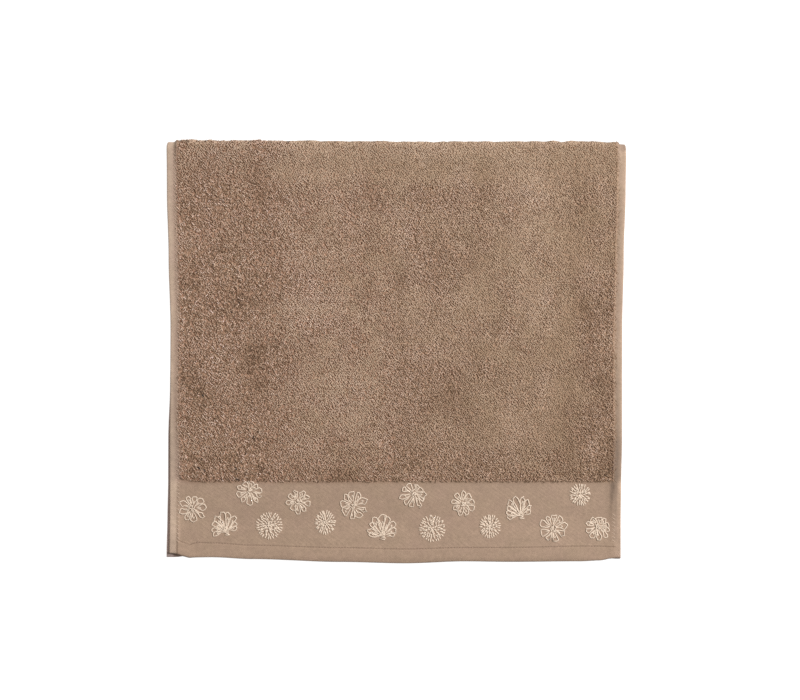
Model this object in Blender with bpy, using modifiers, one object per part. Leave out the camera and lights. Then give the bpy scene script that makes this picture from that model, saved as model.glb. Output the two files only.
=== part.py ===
"""Terry hand towel, folded once across its length and lying flat.

The cloth is one woven piece: a terry field with pile on both faces, a flat woven band and a
double-turned hem at each end, and a narrow turned hem down each side. The fold is at +Y, the
two ends lie at -Y with the decorated end on top, and the underside of the lower layer is flat
at z = 0. The origin is the bottom centre of the bounding box. Lengths below are millimetres.
"""

import math

import bmesh
import bpy

MM = 0.001

# ---- cloth, by zone (thickness of the whole cloth, pile included) ----
TERRY_THICK = 4.0       # ground weave with loops on both faces
BAND_THICK = 1.3        # flat woven band
END_HEM_THICK = 2.0     # band cloth turned twice
SIDE_HEM_THICK = 2.2    # selvedge turned once and sewn down

END_HEM_DEEP = 15.5     # end of the cloth to the hem's stitch line
SIDE_HEM_WIDE = 8.5     # side edge to the first row of pile
SIDE_STEP = 2.5         # width over which the pile rises beside the side hem
PILE_STEP = 7.0         # length over which the pile ends at the band
HEM_STEP = 5.0          # length over which the end hem steps down to the band

# ---- the fold and the gap between the layers ----
LAYER_GAP = 0.8         # air between the two layers
TERRY_AIR = 0.7         # more air between them where both are terry
FOLD_RADIUS = 6.0       # outside radius of the soft fold in the terry
FOLD_RADIUS_HEM = 4.4   # the same at the thinner side hems
FOLD_EASE = 30.0        # length over which the fold's bulge settles
COVER_REACH = 4.5       # the upper layer clears the lower one's steps by this much
SIDE_REACH = 3.0        # and those beside the side hems by this much
SIDE_SLOPE = 10.0       # beside a side hem the band comes down over this width
BAND_REST = 50.0        # past the pile the band comes down over this length
EDGE_LIFT = 2.2         # the side hems ride up by this much where the pile ends
HEM_RISE_LEFT = 1.2     # the side hems curve up to the pile by this much
HEM_RISE_RIGHT = 0.4
HEM_REST = 16.0         # length over which the upper layer comes down from the hem below it
UNDER_BAND_EXTRA = 5.0  # the hidden end's band is this much longer
OVERHANG_DROOP = 0.6    # share of the lower layer's height that an overhanging hem gives up
ARC_STEPS = 9           # sections round the fold

# ---- lines across the cloth, a row for each place from the left side to the right ----
# across: place; fold: the outermost line of the fold; pile: where the terry of the upper layer
# ends; hem: the stitch line of its end hem; upper, lower: the two hemmed ends.
LINES = (
    # across    fold    pile     hem     upper    lower
    (-247.8, 226.3, -134.8, -203.6, -218.8, -223.4),
    (-240.0, 226.2, -135.2, -204.0, -219.2, -223.4),
    (-236.4, 228.4, -136.6, -204.6, -219.9, -223.2),
    (-229.0, 229.1, -139.2, -207.2, -222.6, -222.4),
    (-223.6, 229.0, -140.8, -209.8, -224.2, -221.8),
    (-216.0, 228.8, -141.4, -207.2, -223.7, -221.2),
    (-200.0, 228.5, -141.6, -207.6, -223.5, -220.8),
    (-155.0, 228.0, -141.7, -210.2, -225.6, -220.4),
    (-60.0, 227.8, -141.6, -212.8, -228.5, -221.4),
    (10.0, 226.7, -141.4, -214.3, -230.0, -222.2),
    (75.0, 226.5, -141.4, -212.6, -228.0, -222.0),
    (125.0, 227.6, -141.4, -212.6, -228.5, -222.0),
    (200.0, 227.5, -141.5, -211.2, -228.0, -222.4),
    (222.0, 226.9, -141.6, -211.2, -227.0, -223.4),
    (232.0, 226.9, -141.6, -211.8, -224.8, -224.8),
    (239.0, 226.3, -141.6, -211.8, -224.0, -225.2),
    (242.6, 223.9, -141.6, -211.8, -224.0, -225.2),
    (249.0, 223.5, -141.6, -211.8, -224.0, -225.3),
)
LINE_COLUMNS = ("across", "fold", "pile", "hem", "upper", "lower")
FOLD_TOP = 228.9        # the fold line where it reaches furthest

# ---- side edges, a row for each place down from the fold ----
SIDES = (
    # down    upper_left  upper_right  lower_left  lower_right
    (0.0, -246.8, 247.8, -246.8, 247.8),
    (10.0, -247.6, 248.9, -247.2, 248.5),
    (22.0, -247.5, 249.2, -247.0, 248.4),
    (58.0, -247.4, 248.7, -246.6, 247.8),
    (125.0, -245.6, 246.7, -244.6, 245.8),
    (205.0, -243.5, 245.0, -243.4, 244.4),
    (265.0, -243.8, 244.8, -244.6, 244.3),
    (325.0, -244.3, 244.8, -246.6, 244.3),
    (370.0, -244.2, 243.9, -246.7, 243.5),
    (410.0, -244.6, 243.6, -247.5, 243.3),
    (448.0, -245.1, 243.6, -248.4, 243.6),
)
SIDE_COLUMNS = ("down", "upper_left", "upper_right", "lower_left", "lower_right")

# ---- how much wider the side hems are than SIDE_HEM_WIDE, along the cloth ----
HEM_WIDTH_COLUMNS = ("along", "left", "right")
HEM_WIDTHS = (
    # along    left  right
    (-160.0, 1.3, -1.0),
    (-140.0, 1.8, -1.0),
    (-113.0, 2.2, -1.0),
    (-90.0, 0.8, -1.0),
    (-64.0, -0.4, -1.0),
    (0.0, -0.4, -0.6),
    (30.0, 0.4, -0.8),
    (66.0, 1.3, -1.0),
    (130.0, 1.3, -1.0),
    (190.0, 2.0, -1.0),
    (217.0, 2.1, 0.0),
)

# ---- soft troughs (-) and ridges (+) of the upper layer ----
WAVES = (
    # across   along   half_wide   half_long   height
    (-146.0, -12.0, 20.0, 32.0, -0.9),
    (-208.0, -42.0, 20.0, 15.0, -0.7),
    (-146.0, 164.0, 16.0, 22.0, -0.6),
    (-86.0, 60.0, 34.0, 90.0, 0.7),
    (2.0, 88.0, 12.0, 40.0, -0.6),
    (58.0, -48.0, 34.0, 30.0, -0.7),
    (140.0, 150.0, 30.0, 70.0, 0.7),
    (200.0, 44.0, 16.0, 22.0, -0.7),
    (142.0, -30.0, 34.0, 46.0, 0.5),
    (-40.0, -50.0, 26.0, 40.0, 0.5),
)
WAVE_COLUMNS = ("across", "along", "half_wide", "half_long", "height")
CORNER_LIFT = 1.3       # the loose lower left corner of the upper layer curls up
CORNER_REACH = 20.0

# ---- mesh: columns across, sections along ----
SIDE_INSETS = (0.0, 4.5, SIDE_HEM_WIDE, SIDE_HEM_WIDE + SIDE_STEP, SIDE_HEM_WIDE + SIDE_SLOPE)
INNER_COLUMNS = 16      # columns between the two side strips
SECTIONS = (
    # layer, from line, to line, steps
    ("lower", "end", "hem_low", 3),
    ("lower", "hem_low", "hem_high", 1),
    ("lower", "hem_high", "pile_low", 3),
    ("lower", "pile_low", "pile_high", 2),
    ("lower", "pile_high", "ease", 15),
    ("lower", "ease", "arc", 3),
    ("fold", "arc", "arc", ARC_STEPS),
    ("upper", "arc", "ease", 4),
    ("upper", "ease", "pile_high", 22),
    ("upper", "pile_high", "pile_low", 3),
    ("upper", "pile_low", "hem_high", 8),
    ("upper", "hem_high", "hem_low", 2),
    ("upper", "hem_low", "end", 3),
)


def smooth(value):
    """0 below 0, 1 above 1, and a soft step between."""
    value = min(1.0, max(0.0, value))
    return value * value * (3.0 - 2.0 * value)


def mix(low, high, share):
    return low + (high - low) * share


def look_up(table, columns, column, at):
    """The named column of the table at a place of its first column, with soft steps between rows."""
    place = columns.index(column)
    if at <= table[0][0]:
        return table[0][place]
    for before, after in zip(table, table[1:]):
        if at <= after[0]:
            return mix(before[place], after[place], smooth((at - before[0]) / (after[0] - before[0])))
    return table[-1][place]


def line_at(name, across, layer):
    """Y of a named line of one layer: its end, hem, pile edge, where the fold eases, its arc."""
    low_layer = layer == "lower"
    end = look_up(LINES, LINE_COLUMNS, "lower" if low_layer else "upper", across)
    hem = end + END_HEM_DEEP if low_layer else look_up(LINES, LINE_COLUMNS, "hem", across)
    pile = look_up(LINES, LINE_COLUMNS, "pile", across) + (UNDER_BAND_EXTRA if low_layer else 0.0)
    fold = look_up(LINES, LINE_COLUMNS, "fold", across)
    return {
        "end": end,
        "hem_low": hem - HEM_STEP / 2,
        "hem_high": hem + HEM_STEP / 2,
        "pile_low": pile - PILE_STEP / 2,
        "pile_high": pile + PILE_STEP / 2,
        "ease": fold - FOLD_EASE - FOLD_RADIUS,
        "arc": fold - FOLD_RADIUS,
    }[name]


def side_share(inset, grow=0.0):
    """0 on the side hem, 1 where the full terry starts."""
    return smooth((inset - SIDE_HEM_WIDE + grow) / SIDE_STEP)


def thickness(layer, across, y, inset):
    """Cloth thickness at a place, inset from the nearer side edge."""
    pile = smooth((y - line_at("pile_low", across, layer)) / PILE_STEP)
    hem = 1.0 - smooth((y - line_at("hem_low", across, layer)) / HEM_STEP)
    middle = mix(mix(BAND_THICK, END_HEM_THICK, hem), TERRY_THICK, pile)
    edge = mix(SIDE_HEM_THICK, END_HEM_THICK, hem)
    return mix(edge, middle, side_share(inset))


def waves(across, y):
    """Height of the upper layer's troughs and ridges above its even surface."""
    total = 0.0
    for row in WAVES:
        wave = dict(zip(WAVE_COLUMNS, row))
        off = ((across - wave["across"]) / wave["half_wide"]) ** 2
        off += ((y - wave["along"]) / wave["half_long"]) ** 2
        total += wave["height"] * math.exp(-off)
    total += 0.25 * math.sin(across / 31.0 + 1.3) * math.sin(y / 27.0 + 0.4)
    lift = math.hypot(across - LINES[0][0], y - LINES[0][4]) / CORNER_REACH
    return total + CORNER_LIFT * math.exp(-lift * lift)


def fold_radius(across, inset):
    swell = 0.3 * math.sin(across / 37.0) + 0.2 * math.sin(across / 13.0 + 2.0)
    return mix(FOLD_RADIUS_HEM, FOLD_RADIUS + swell, smooth((inset - 4.5) / 6.5))


def top_of_upper(across, y, inset):
    """Height of the upper layer's face, over the lower layer and round the fold's bulge."""
    pile = line_at("pile_low", across, "lower") - COVER_REACH
    stiff = smooth((y - (pile + PILE_STEP - BAND_REST)) / BAND_REST)
    hem = 1.0 - smooth((y - line_at("hem_low", across, "lower") - COVER_REACH) / HEM_REST)
    middle = mix(mix(BAND_THICK, END_HEM_THICK, hem), TERRY_THICK, stiff)
    lift = EDGE_LIFT * math.exp(-((min(y - pile, 0.0) / (0.5 * BAND_REST)) ** 2))
    edge = mix(SIDE_HEM_THICK, END_HEM_THICK, hem) + lift
    soft = smooth((inset - SIDE_HEM_WIDE + 1.0) / SIDE_SLOPE)
    cover = max(mix(edge, middle, soft), mix(edge, middle, side_share(inset, SIDE_REACH)))
    past = line_at("end", across, "lower") - 1.0 - y
    cover *= 1.0 - OVERHANG_DROOP * smooth(past / 6.0)
    flat = cover + LAYER_GAP + thickness("upper", across, y, inset)
    flat += TERRY_AIR * side_share(inset) * stiff
    rise = (HEM_RISE_LEFT if across < 0.0 else HEM_RISE_RIGHT) * smooth((inset - 3.5) / 5.5)
    rise *= 1.0 - side_share(inset)
    flat += rise * smooth((y - line_at("pile_low", across, "upper")) / PILE_STEP)
    bulge = smooth((y - line_at("ease", across, "upper")) / FOLD_EASE)
    fade = (1.0 - bulge) * side_share(inset + 2.0)
    return mix(flat, 2.0 * fold_radius(across, inset), bulge) + fade * waves(across, y)


def place_across(column, y, left, right):
    """X of one column of the cloth, and its distance in from the nearer side edge as it would be
    were the side hems equally wide everywhere."""
    last = len(SIDE_INSETS) - 1
    wider_left, wider_right = (look_up(HEM_WIDTHS, HEM_WIDTH_COLUMNS, side, y) for side in ("left", "right"))
    if column <= last:
        inset = SIDE_INSETS[column]
        return left + inset + wider_left * smooth(inset / 5.0), inset
    from_right = COLUMNS - 1 - column
    if from_right <= last:
        inset = SIDE_INSETS[from_right]
        return right - inset - wider_right * smooth(inset / 5.0), inset
    share = (column - last) / (COLUMNS - 1 - 2 * last)
    first, stop = left + SIDE_INSETS[last] + wider_left, right - SIDE_INSETS[last] - wider_right
    x = mix(first, stop, share)
    return x, min(x - left, right - x)


COLUMNS = 2 * len(SIDE_INSETS) + INNER_COLUMNS


def sections():
    """(layer, from line, to line, share) of each section of the cloth, end to end."""
    rows = []
    for layer, start, stop, steps in SECTIONS:
        first = 0 if not rows else 1
        rows += [(layer, start, stop, step / steps) for step in range(first, steps + 1)]
    return rows


def section_y(section, across, layer):
    """Y of a section at a place across; round the fold, its outermost line is the fold line."""
    part, start, stop, share = section
    if part == "fold":
        return line_at("arc", across, layer) + FOLD_RADIUS * math.sin(math.pi * share)
    return mix(line_at(start, across, layer), line_at(stop, across, layer), share)


def side_x(name, section, y):
    """X of the left or right edge of the cloth at a section."""
    part, _, _, share = section
    down = FOLD_TOP - y
    low = look_up(SIDES, SIDE_COLUMNS, f"lower_{name}", down)
    high = look_up(SIDES, SIDE_COLUMNS, f"upper_{name}", down)
    return mix(low, high, {"lower": 0.0, "upper": 1.0}.get(part, smooth(share)))


def outer_point(column, section):
    """A point of the cloth's outer face, and the cloth's thickness there."""
    part, _, _, share = section
    layer = "lower" if part == "lower" else "upper"
    x = mix(LINES[0][0], LINES[-1][0], column / (COLUMNS - 1))
    for _ in range(2):
        y = section_y(section, x, layer)
        x, inset = place_across(column, y, side_x("left", section, y), side_x("right", section, y))
    if part == "fold":
        height = fold_radius(x, inset) * (1.0 - math.cos(math.pi * share))
        return x, y, height, mix(SIDE_HEM_THICK, TERRY_THICK, side_share(inset))
    thick = thickness(layer, x, y, inset)
    return x, y, 0.0 if part == "lower" else top_of_upper(x, y, inset), thick


def build_cloth(collection):
    rows = sections()
    mesh = bpy.data.meshes.new("towel_cloth")
    cloth = bpy.data.objects.new("towel_cloth", mesh)
    collection.objects.link(cloth)
    weight = cloth.vertex_groups.new(name="thickness")

    work = bmesh.new()
    bmesh.ops.create_grid(work, x_segments=COLUMNS - 1, y_segments=len(rows) - 1, size=0.5)
    shares = work.verts.layers.deform.verify()
    for vert in work.verts:
        column = round((vert.co.x + 0.5) * (COLUMNS - 1))
        row = round((vert.co.y + 0.5) * (len(rows) - 1))
        x, y, z, thick = outer_point(column, rows[row])
        vert.co = (x * MM, y * MM, z * MM)
        vert[shares][weight.index] = thick / TERRY_THICK
    # The origin is the middle of the folded cloth's outline.
    for axis in (0, 1):
        places = [vert.co[axis] for vert in work.verts]
        middle = (min(places) + max(places)) / 2
        for vert in work.verts:
            vert.co[axis] -= middle
    # Seen from below, the lower layer's outer face looks down.
    bmesh.ops.reverse_faces(work, faces=work.faces)
    work.to_mesh(mesh)
    work.free()
    mesh.shade_smooth()
    mesh.set_sharp_from_angle(angle=math.radians(50))

    shell = cloth.modifiers.new("cloth thickness", "SOLIDIFY")
    shell.thickness = TERRY_THICK * MM
    shell.offset = -1.0
    shell.vertex_group = weight.name
    shell.thickness_vertex_group = 0.0
    shell.use_rim = True
    return cloth


def make_material(name, colour, roughness):
    material = bpy.data.materials.new(name)
    material.use_nodes = True
    shader = material.node_tree.nodes["Principled BSDF"]
    shader.inputs["Base Color"].default_value = (*colour, 1.0)
    shader.inputs["Roughness"].default_value = roughness
    shader.inputs["Metallic"].default_value = 0.0
    return material


def main():
    for obj in list(bpy.data.objects):
        bpy.data.objects.remove(obj, do_unlink=True)
    collection = bpy.data.collections.new("hand_towel")
    bpy.context.scene.collection.children.link(collection)
    cloth = build_cloth(collection)
    cloth.data.materials.append(make_material("cotton_terry", (0.32, 0.205, 0.138), 0.95))


main()
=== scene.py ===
"""Looks of a terry hand towel that is folded once and lies flat: the cloth with its flat woven
band and hems, the loops of its pile, the hem stitches and the embroidered flowers.

Lengths are millimetres until a mesh is made. x runs across the cloth, y from the open end to
the fold, z up. "Along" is the distance from the lower layer's end, over the fold, to the upper
layer's end."""

import math

import bpy
import numpy as np
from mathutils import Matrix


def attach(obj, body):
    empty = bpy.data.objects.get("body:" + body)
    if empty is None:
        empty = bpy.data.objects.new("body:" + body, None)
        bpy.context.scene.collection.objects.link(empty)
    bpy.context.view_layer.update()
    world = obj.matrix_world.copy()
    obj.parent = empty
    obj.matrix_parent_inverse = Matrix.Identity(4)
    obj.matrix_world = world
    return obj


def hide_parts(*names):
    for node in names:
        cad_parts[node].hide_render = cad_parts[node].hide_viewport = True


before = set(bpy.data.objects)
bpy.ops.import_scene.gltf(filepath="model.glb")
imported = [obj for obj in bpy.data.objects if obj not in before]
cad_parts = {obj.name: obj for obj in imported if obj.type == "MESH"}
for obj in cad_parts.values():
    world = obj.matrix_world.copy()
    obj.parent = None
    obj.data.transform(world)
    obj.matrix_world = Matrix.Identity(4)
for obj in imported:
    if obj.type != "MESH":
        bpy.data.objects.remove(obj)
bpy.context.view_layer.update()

MM = 0.001

# ---------------------------------------------------------------- cloth sizes, as in the CAD
TERRY_THICK = 4.0
BAND_THICK = 1.3
END_HEM_THICK = 2.0
SIDE_HEM_THICK = 2.2
PILE_HIGH = 1.55        # ground weave to the tip of a loop, on each face
END_HEM_DEEP = 15.5
SIDE_HEM_WIDE = 8.5
SIDE_STEP = 1.8
PILE_STEP = 7.0
HEM_STEP = 5.0
LAYER_GAP = 0.8
TERRY_AIR = 0.7
FOLD_RADIUS = 6.0
FOLD_RADIUS_HEM = 4.4
FOLD_EASE = 30.0
COVER_REACH = 4.5
SIDE_REACH = 3.0
SIDE_SLOPE = 10.0       # the band comes down over this width beside the side hem below it
UNDER_BAND_EXTRA = 5.0
OVERHANG_DROOP = 0.6
BAND_REST = 50.0        # the band comes down to the layer below over this length past the pile
EDGE_LIFT = 2.2         # the side hems ride up by this beside the pile
FOLD_LUMPS = 0.75       # how far the fold's line swells and shrinks
HEM_RISE_LEFT = 1.2     # how far the side hems curve up to the pile
HEM_RISE_RIGHT = 0.4
FOLD_TOP = 228.9
FRAME_SHIFT = (-0.07, 0.26, 0.0)   # from the sizes below to the frame's origin

LINE_COLUMNS = ("across", "fold", "pile", "hem", "upper", "lower")
LINES = (
    # across    fold    pile     hem     upper    lower
    (-247.8, 226.3, -134.8, -203.6, -218.8, -223.4),
    (-240.0, 226.2, -135.2, -204.0, -219.2, -223.4),
    (-236.4, 228.4, -136.6, -204.6, -219.9, -223.2),
    (-229.0, 229.1, -139.2, -207.2, -222.6, -222.4),
    (-223.6, 229.0, -140.8, -209.8, -224.2, -221.8),
    (-216.0, 228.8, -141.4, -207.2, -223.7, -221.2),
    (-200.0, 228.5, -141.6, -207.6, -223.5, -220.8),
    (-155.0, 228.0, -141.7, -210.2, -225.6, -220.4),
    (-60.0, 227.8, -141.6, -212.8, -228.5, -221.4),
    (10.0, 226.7, -141.4, -214.3, -230.0, -222.2),
    (75.0, 226.5, -141.4, -212.6, -228.0, -222.0),
    (125.0, 227.6, -141.4, -212.6, -228.5, -222.0),
    (200.0, 227.5, -141.5, -211.2, -228.0, -222.4),
    (222.0, 226.9, -141.6, -211.2, -227.0, -223.4),
    (232.0, 226.9, -141.6, -211.8, -224.8, -224.8),
    (239.0, 226.3, -141.6, -211.8, -224.0, -225.2),
    (242.6, 223.9, -141.6, -211.8, -224.0, -225.2),
    (249.0, 223.5, -141.6, -211.8, -224.0, -225.3),
)

SIDE_COLUMNS = ("down", "upper_left", "upper_right", "lower_left", "lower_right")
SIDES = (
    # down    upper_left  upper_right  lower_left  lower_right
    (0.0, -246.8, 247.8, -246.8, 247.8),
    (10.0, -247.6, 248.9, -247.2, 248.5),
    (22.0, -247.5, 249.2, -247.0, 248.4),
    (58.0, -247.4, 248.7, -246.6, 247.8),
    (125.0, -245.6, 246.7, -244.6, 245.8),
    (205.0, -243.5, 245.0, -243.4, 244.4),
    (265.0, -243.8, 244.8, -244.6, 244.3),
    (325.0, -244.3, 244.8, -246.6, 244.3),
    (370.0, -244.2, 243.9, -246.7, 243.5),
    (410.0, -244.6, 243.6, -247.5, 243.3),
    (448.0, -245.1, 243.6, -248.4, 243.6),
)

# How much wider the side hems are than SIDE_HEM_WIDE, along the cloth.
HEM_WIDTH_COLUMNS = ("along", "left", "right")
HEM_WIDTHS = (
    # along    left  right
    (-160.0, 1.3, -1.0),
    (-140.0, 1.8, -1.0),
    (-113.0, 2.2, -1.0),
    (-90.0, 0.8, -1.0),
    (-64.0, -0.4, -1.0),
    (0.0, -0.4, -0.6),
    (30.0, 0.4, -0.8),
    (66.0, 1.3, -1.0),
    (130.0, 1.3, -1.0),
    (190.0, 2.0, -1.0),
    (217.0, 2.1, 0.0),
)

# How light the side hems are painted along the cloth, near their outer and their inner side: painted light and shade,
# darker where the pile shades them, over the hems' own tone.
HEM_TONE_COLUMNS = ("along", "left_outer", "left_inner", "right_outer", "right_inner")
HEM_TONES = (
    # along    left_outer  left_inner  right_outer  right_inner
    (-222.0, 0.80, 0.88, 1.22, 1.24),
    (-206.0, 0.84, 0.90, 1.22, 1.24),
    (-202.0, 0.98, 1.02, 1.50, 1.04),
    (-172.0, 1.00, 1.02, 1.60, 0.96),
    (-146.0, 1.06, 1.13, 1.70, 0.78),
    (-136.0, 0.84, 0.82, 0.98, 0.62),
    (-113.0, 0.80, 0.80, 1.02, 0.62),
    (-64.0, 0.82, 0.83, 1.26, 0.88),
    (0.0, 0.92, 0.98, 1.38, 1.00),
    (66.0, 0.92, 0.93, 1.36, 0.98),
    (130.0, 0.94, 0.98, 1.40, 1.00),
    (190.0, 0.95, 1.00, 1.48, 1.12),
    (212.0, 0.93, 0.98, 1.50, 1.14),
    (226.0, 0.80, 0.84, 1.20, 0.96),
)

# Soft troughs (-) and ridges (+) of the upper layer.
WAVE_COLUMNS = ("across", "along", "half_wide", "half_long", "height")
WAVES = (
    (-146.0, -12.0, 20.0, 32.0, -0.9),
    (-208.0, -42.0, 20.0, 15.0, -0.7),
    (-146.0, 164.0, 16.0, 22.0, -0.6),
    (-86.0, 60.0, 34.0, 90.0, 0.7),
    (2.0, 88.0, 12.0, 40.0, -0.6),
    (58.0, -48.0, 34.0, 30.0, -0.7),
    (140.0, 150.0, 30.0, 70.0, 0.7),
    (200.0, 44.0, 16.0, 22.0, -0.7),
    (142.0, -30.0, 34.0, 46.0, 0.5),
    (-40.0, -50.0, 26.0, 40.0, 0.5),
)
CORNER_LIFT = 1.3
CORNER_REACH = 20.0

# Where the pile is painted darker (-) or lighter (+), in shares of its brightness: painted light and shade of the
# loops' lay, and a lighter strip by the fold.
TONE_COLUMNS = ("across", "along", "half_wide", "half_long", "turn", "tone")
TONES = (
    # across, along, half_wide, half_long, turn, tone
    (-153.0, -6.0, 10.0, 16.0, -12.0, -0.52),
    (-148.0, -34.0, 13.0, 18.0, 0.0, -0.22),
    (-213.0, -42.0, 24.0, 8.0, -42.0, -0.36),
    (-145.0, 167.0, 9.0, 9.0, 0.0, -0.28),
    (-156.0, 182.0, 16.0, 22.0, 0.0, -0.11),
    (-163.0, 57.0, 30.0, 24.0, 0.0, -0.19),
    (-172.0, 108.0, 30.0, 10.0, 0.0, -0.13),
    (-223.0, 76.0, 12.0, 16.0, 0.0, -0.17),
    (-232.0, 185.0, 10.0, 30.0, 0.0, -0.11),
    (-24.0, 178.0, 9.0, 17.0, 0.0, -0.16),
    (-28.0, 125.0, 13.0, 40.0, -8.0, -0.09),
    (-30.0, 63.0, 8.0, 14.0, -10.0, -0.16),
    (3.0, 82.0, 6.0, 20.0, 0.0, -0.20),
    (12.0, 15.0, 6.0, 8.0, 0.0, -0.13),
    (-50.0, 70.0, 10.0, 12.0, 0.0, -0.07),
    (-108.0, 2.0, 16.0, 7.0, 0.0, -0.13),
    (94.0, 184.0, 7.0, 22.0, 0.0, -0.17),
    (85.0, 106.0, 10.0, 30.0, 0.0, -0.14),
    (48.0, 108.0, 12.0, 26.0, 0.0, -0.12),
    (112.0, 20.0, 10.0, 14.0, 0.0, -0.11),
    (90.0, -2.0, 14.0, 10.0, 0.0, -0.10),
    (60.0, -50.0, 28.0, 28.0, 0.0, -0.20),
    (24.0, -112.0, 16.0, 18.0, 0.0, -0.20),
    (88.0, -84.0, 22.0, 16.0, 30.0, -0.08),
    (202.0, 45.0, 10.0, 12.0, 0.0, -0.28),
    (221.0, -34.0, 9.0, 10.0, 0.0, -0.30),
    (199.0, 150.0, 12.0, 34.0, 0.0, -0.13),
    (196.0, -10.0, 14.0, 26.0, 0.0, -0.10),
    (186.0, -106.0, 18.0, 34.0, 0.0, -0.15),
    (222.0, -130.0, 20.0, 12.0, 0.0, -0.22),
    (84.0, -128.0, 26.0, 14.0, 0.0, -0.10),
    (-60.0, -137.0, 24.0, 11.0, 0.0, -0.38),
    (-104.0, -64.0, 12.0, 10.0, 0.0, -0.09),
    (-208.0, -126.0, 34.0, 14.0, 0.0, -0.22),
    (-150.0, -98.0, 16.0, 18.0, 0.0, -0.06),
    (-160.0, -138.0, 16.0, 10.0, 0.0, -0.13),
    (-120.0, -130.0, 14.0, 18.0, 0.0, -0.05),
    (150.0, -130.0, 14.0, 12.0, 0.0, -0.08),
    (-90.0, 44.0, 26.0, 26.0, 0.0, 0.17),
    (-108.0, 110.0, 16.0, 50.0, 0.0, 0.12),
    (-78.0, 196.0, 26.0, 22.0, 0.0, 0.09),
    (-54.0, -46.0, 26.0, 26.0, 0.0, 0.16),
    (-12.0, 2.0, 9.0, 12.0, 0.0, 0.13),
    (8.0, 130.0, 10.0, 34.0, 0.0, 0.12),
    (64.0, 190.0, 16.0, 26.0, 0.0, 0.07),
    (66.0, 60.0, 14.0, 14.0, 0.0, 0.09),
    (150.0, 30.0, 75.0, 150.0, 0.0, -0.10),
    (150.0, 182.0, 26.0, 30.0, 0.0, 0.24),
    (148.0, 104.0, 26.0, 42.0, 0.0, 0.18),
    (150.0, 36.0, 22.0, 22.0, 0.0, 0.16),
    (158.0, -38.0, 16.0, 22.0, 0.0, 0.16),
    (126.0, -74.0, 18.0, 40.0, 0.0, 0.09),
    (211.0, 88.0, 10.0, 16.0, 0.0, 0.12),
    (211.0, -104.0, 7.0, 9.0, 0.0, 0.26),
    (228.0, 20.0, 8.0, 24.0, 0.0, 0.06),
    (-195.0, -8.0, 14.0, 18.0, 0.0, 0.10),
    (-232.0, 108.0, 8.0, 14.0, 0.0, 0.13),
    (-218.0, 130.0, 14.0, 28.0, 0.0, 0.04),
    (-100.0, -96.0, 12.0, 16.0, 0.0, 0.12),
    (0.0, 218.0, 320.0, 13.0, 0.0, 0.15),
    (-151.0, 151.0, 9.0, 14.0, 0.0, -0.10),
    (-152.0, 82.0, 8.0, 8.0, 0.0, -0.09),
    (-131.0, 10.0, 12.0, 12.0, 0.0, -0.13),
    (-164.0, -19.0, 8.0, 8.0, 0.0, -0.18),
    (-158.0, -60.0, 9.0, 14.0, 0.0, -0.14),
    (-181.0, -98.0, 12.0, 9.0, 0.0, -0.12),
    (-224.0, -30.0, 8.0, 14.0, 0.0, -0.12),
    (-5.0, 107.0, 8.0, 16.0, 0.0, -0.11),
    (-10.0, 161.0, 7.0, 10.0, 0.0, -0.09),
    (161.0, 89.0, 10.0, 10.0, 0.0, -0.14),
    (164.0, 186.0, 11.0, 12.0, 0.0, -0.12),
    (227.0, 42.0, 7.0, 10.0, 0.0, -0.22),
    (233.0, -46.0, 8.0, 14.0, 0.0, -0.20),
    (208.0, -5.0, 8.0, 8.0, 0.0, -0.10),
    (180.0, -34.0, 8.0, 12.0, 0.0, -0.10),
    (183.0, -69.0, 20.0, 18.0, 0.0, -0.09),
    (150.0, -98.0, 14.0, 12.0, 0.0, -0.10),
    (234.0, -118.0, 9.0, 26.0, 0.0, -0.30),
    (13.0, -23.0, 10.0, 9.0, 0.0, -0.12),
    (-34.0, -23.0, 7.0, 8.0, 0.0, -0.10),
    (6.0, -66.0, 9.0, 9.0, 0.0, -0.14),
    (42.0, -77.0, 12.0, 8.0, 0.0, -0.10),
    (89.0, -1.0, 12.0, 7.0, 0.0, -0.10),
    (60.0, 67.0, 8.0, 7.0, 0.0, -0.12),
    (-80.0, -77.0, 7.0, 8.0, 0.0, -0.10),
    (-77.0, 3.0, 9.0, 8.0, 0.0, -0.11),
    (-66.0, -116.0, 8.0, 8.0, 0.0, -0.09),
    (-228.0, 46.0, 8.0, 8.0, 0.0, -0.08),
    (-224.0, 222.0, 10.0, 8.0, 0.0, -0.18),
    (121.0, 20.0, 7.0, 10.0, 0.0, 0.22),
    (96.0, -48.0, 8.0, 8.0, 0.0, 0.18),
    (-51.0, 67.0, 9.0, 7.0, 0.0, 0.15),
    (150.0, 58.0, 9.0, 6.0, 0.0, 0.09),
    (-113.0, 31.0, 6.0, 36.0, 0.0, 0.10),
    (-213.0, 121.0, 7.0, 9.0, 0.0, 0.10),
    (-192.0, 172.0, 7.0, 10.0, 0.0, 0.08),
    (-30.0, 139.0, 7.0, 8.0, 0.0, 0.09),
    (24.0, 154.0, 7.0, 12.0, 0.0, 0.10),
    (-48.0, -62.0, 8.0, 8.0, 0.0, 0.08),
    (-91.0, -55.0, 8.0, 10.0, 0.0, 0.07),
    (53.0, 215.0, 14.0, 8.0, 0.0, 0.10),
    (233.0, 158.0, 8.0, 12.0, 0.0, 0.16),
    (197.0, 139.0, 6.0, 12.0, 0.0, 0.08),
    (-149.0, -30.0, 6.0, 6.0, 0.0, 0.10),
    (-170.0, -128.0, 12.0, 7.0, 0.0, 0.08),
    (160.0, -80.0, 110.0, 70.0, 0.0, -0.04),
    (235.0, 60.0, 60.0, 320.0, 0.0, -0.07),
    (172.0, 212.0, 18.0, 12.0, 0.0, -0.10),
    (0.0, -138.0, 300.0, 40.0, 0.0, -0.05),
)

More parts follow.
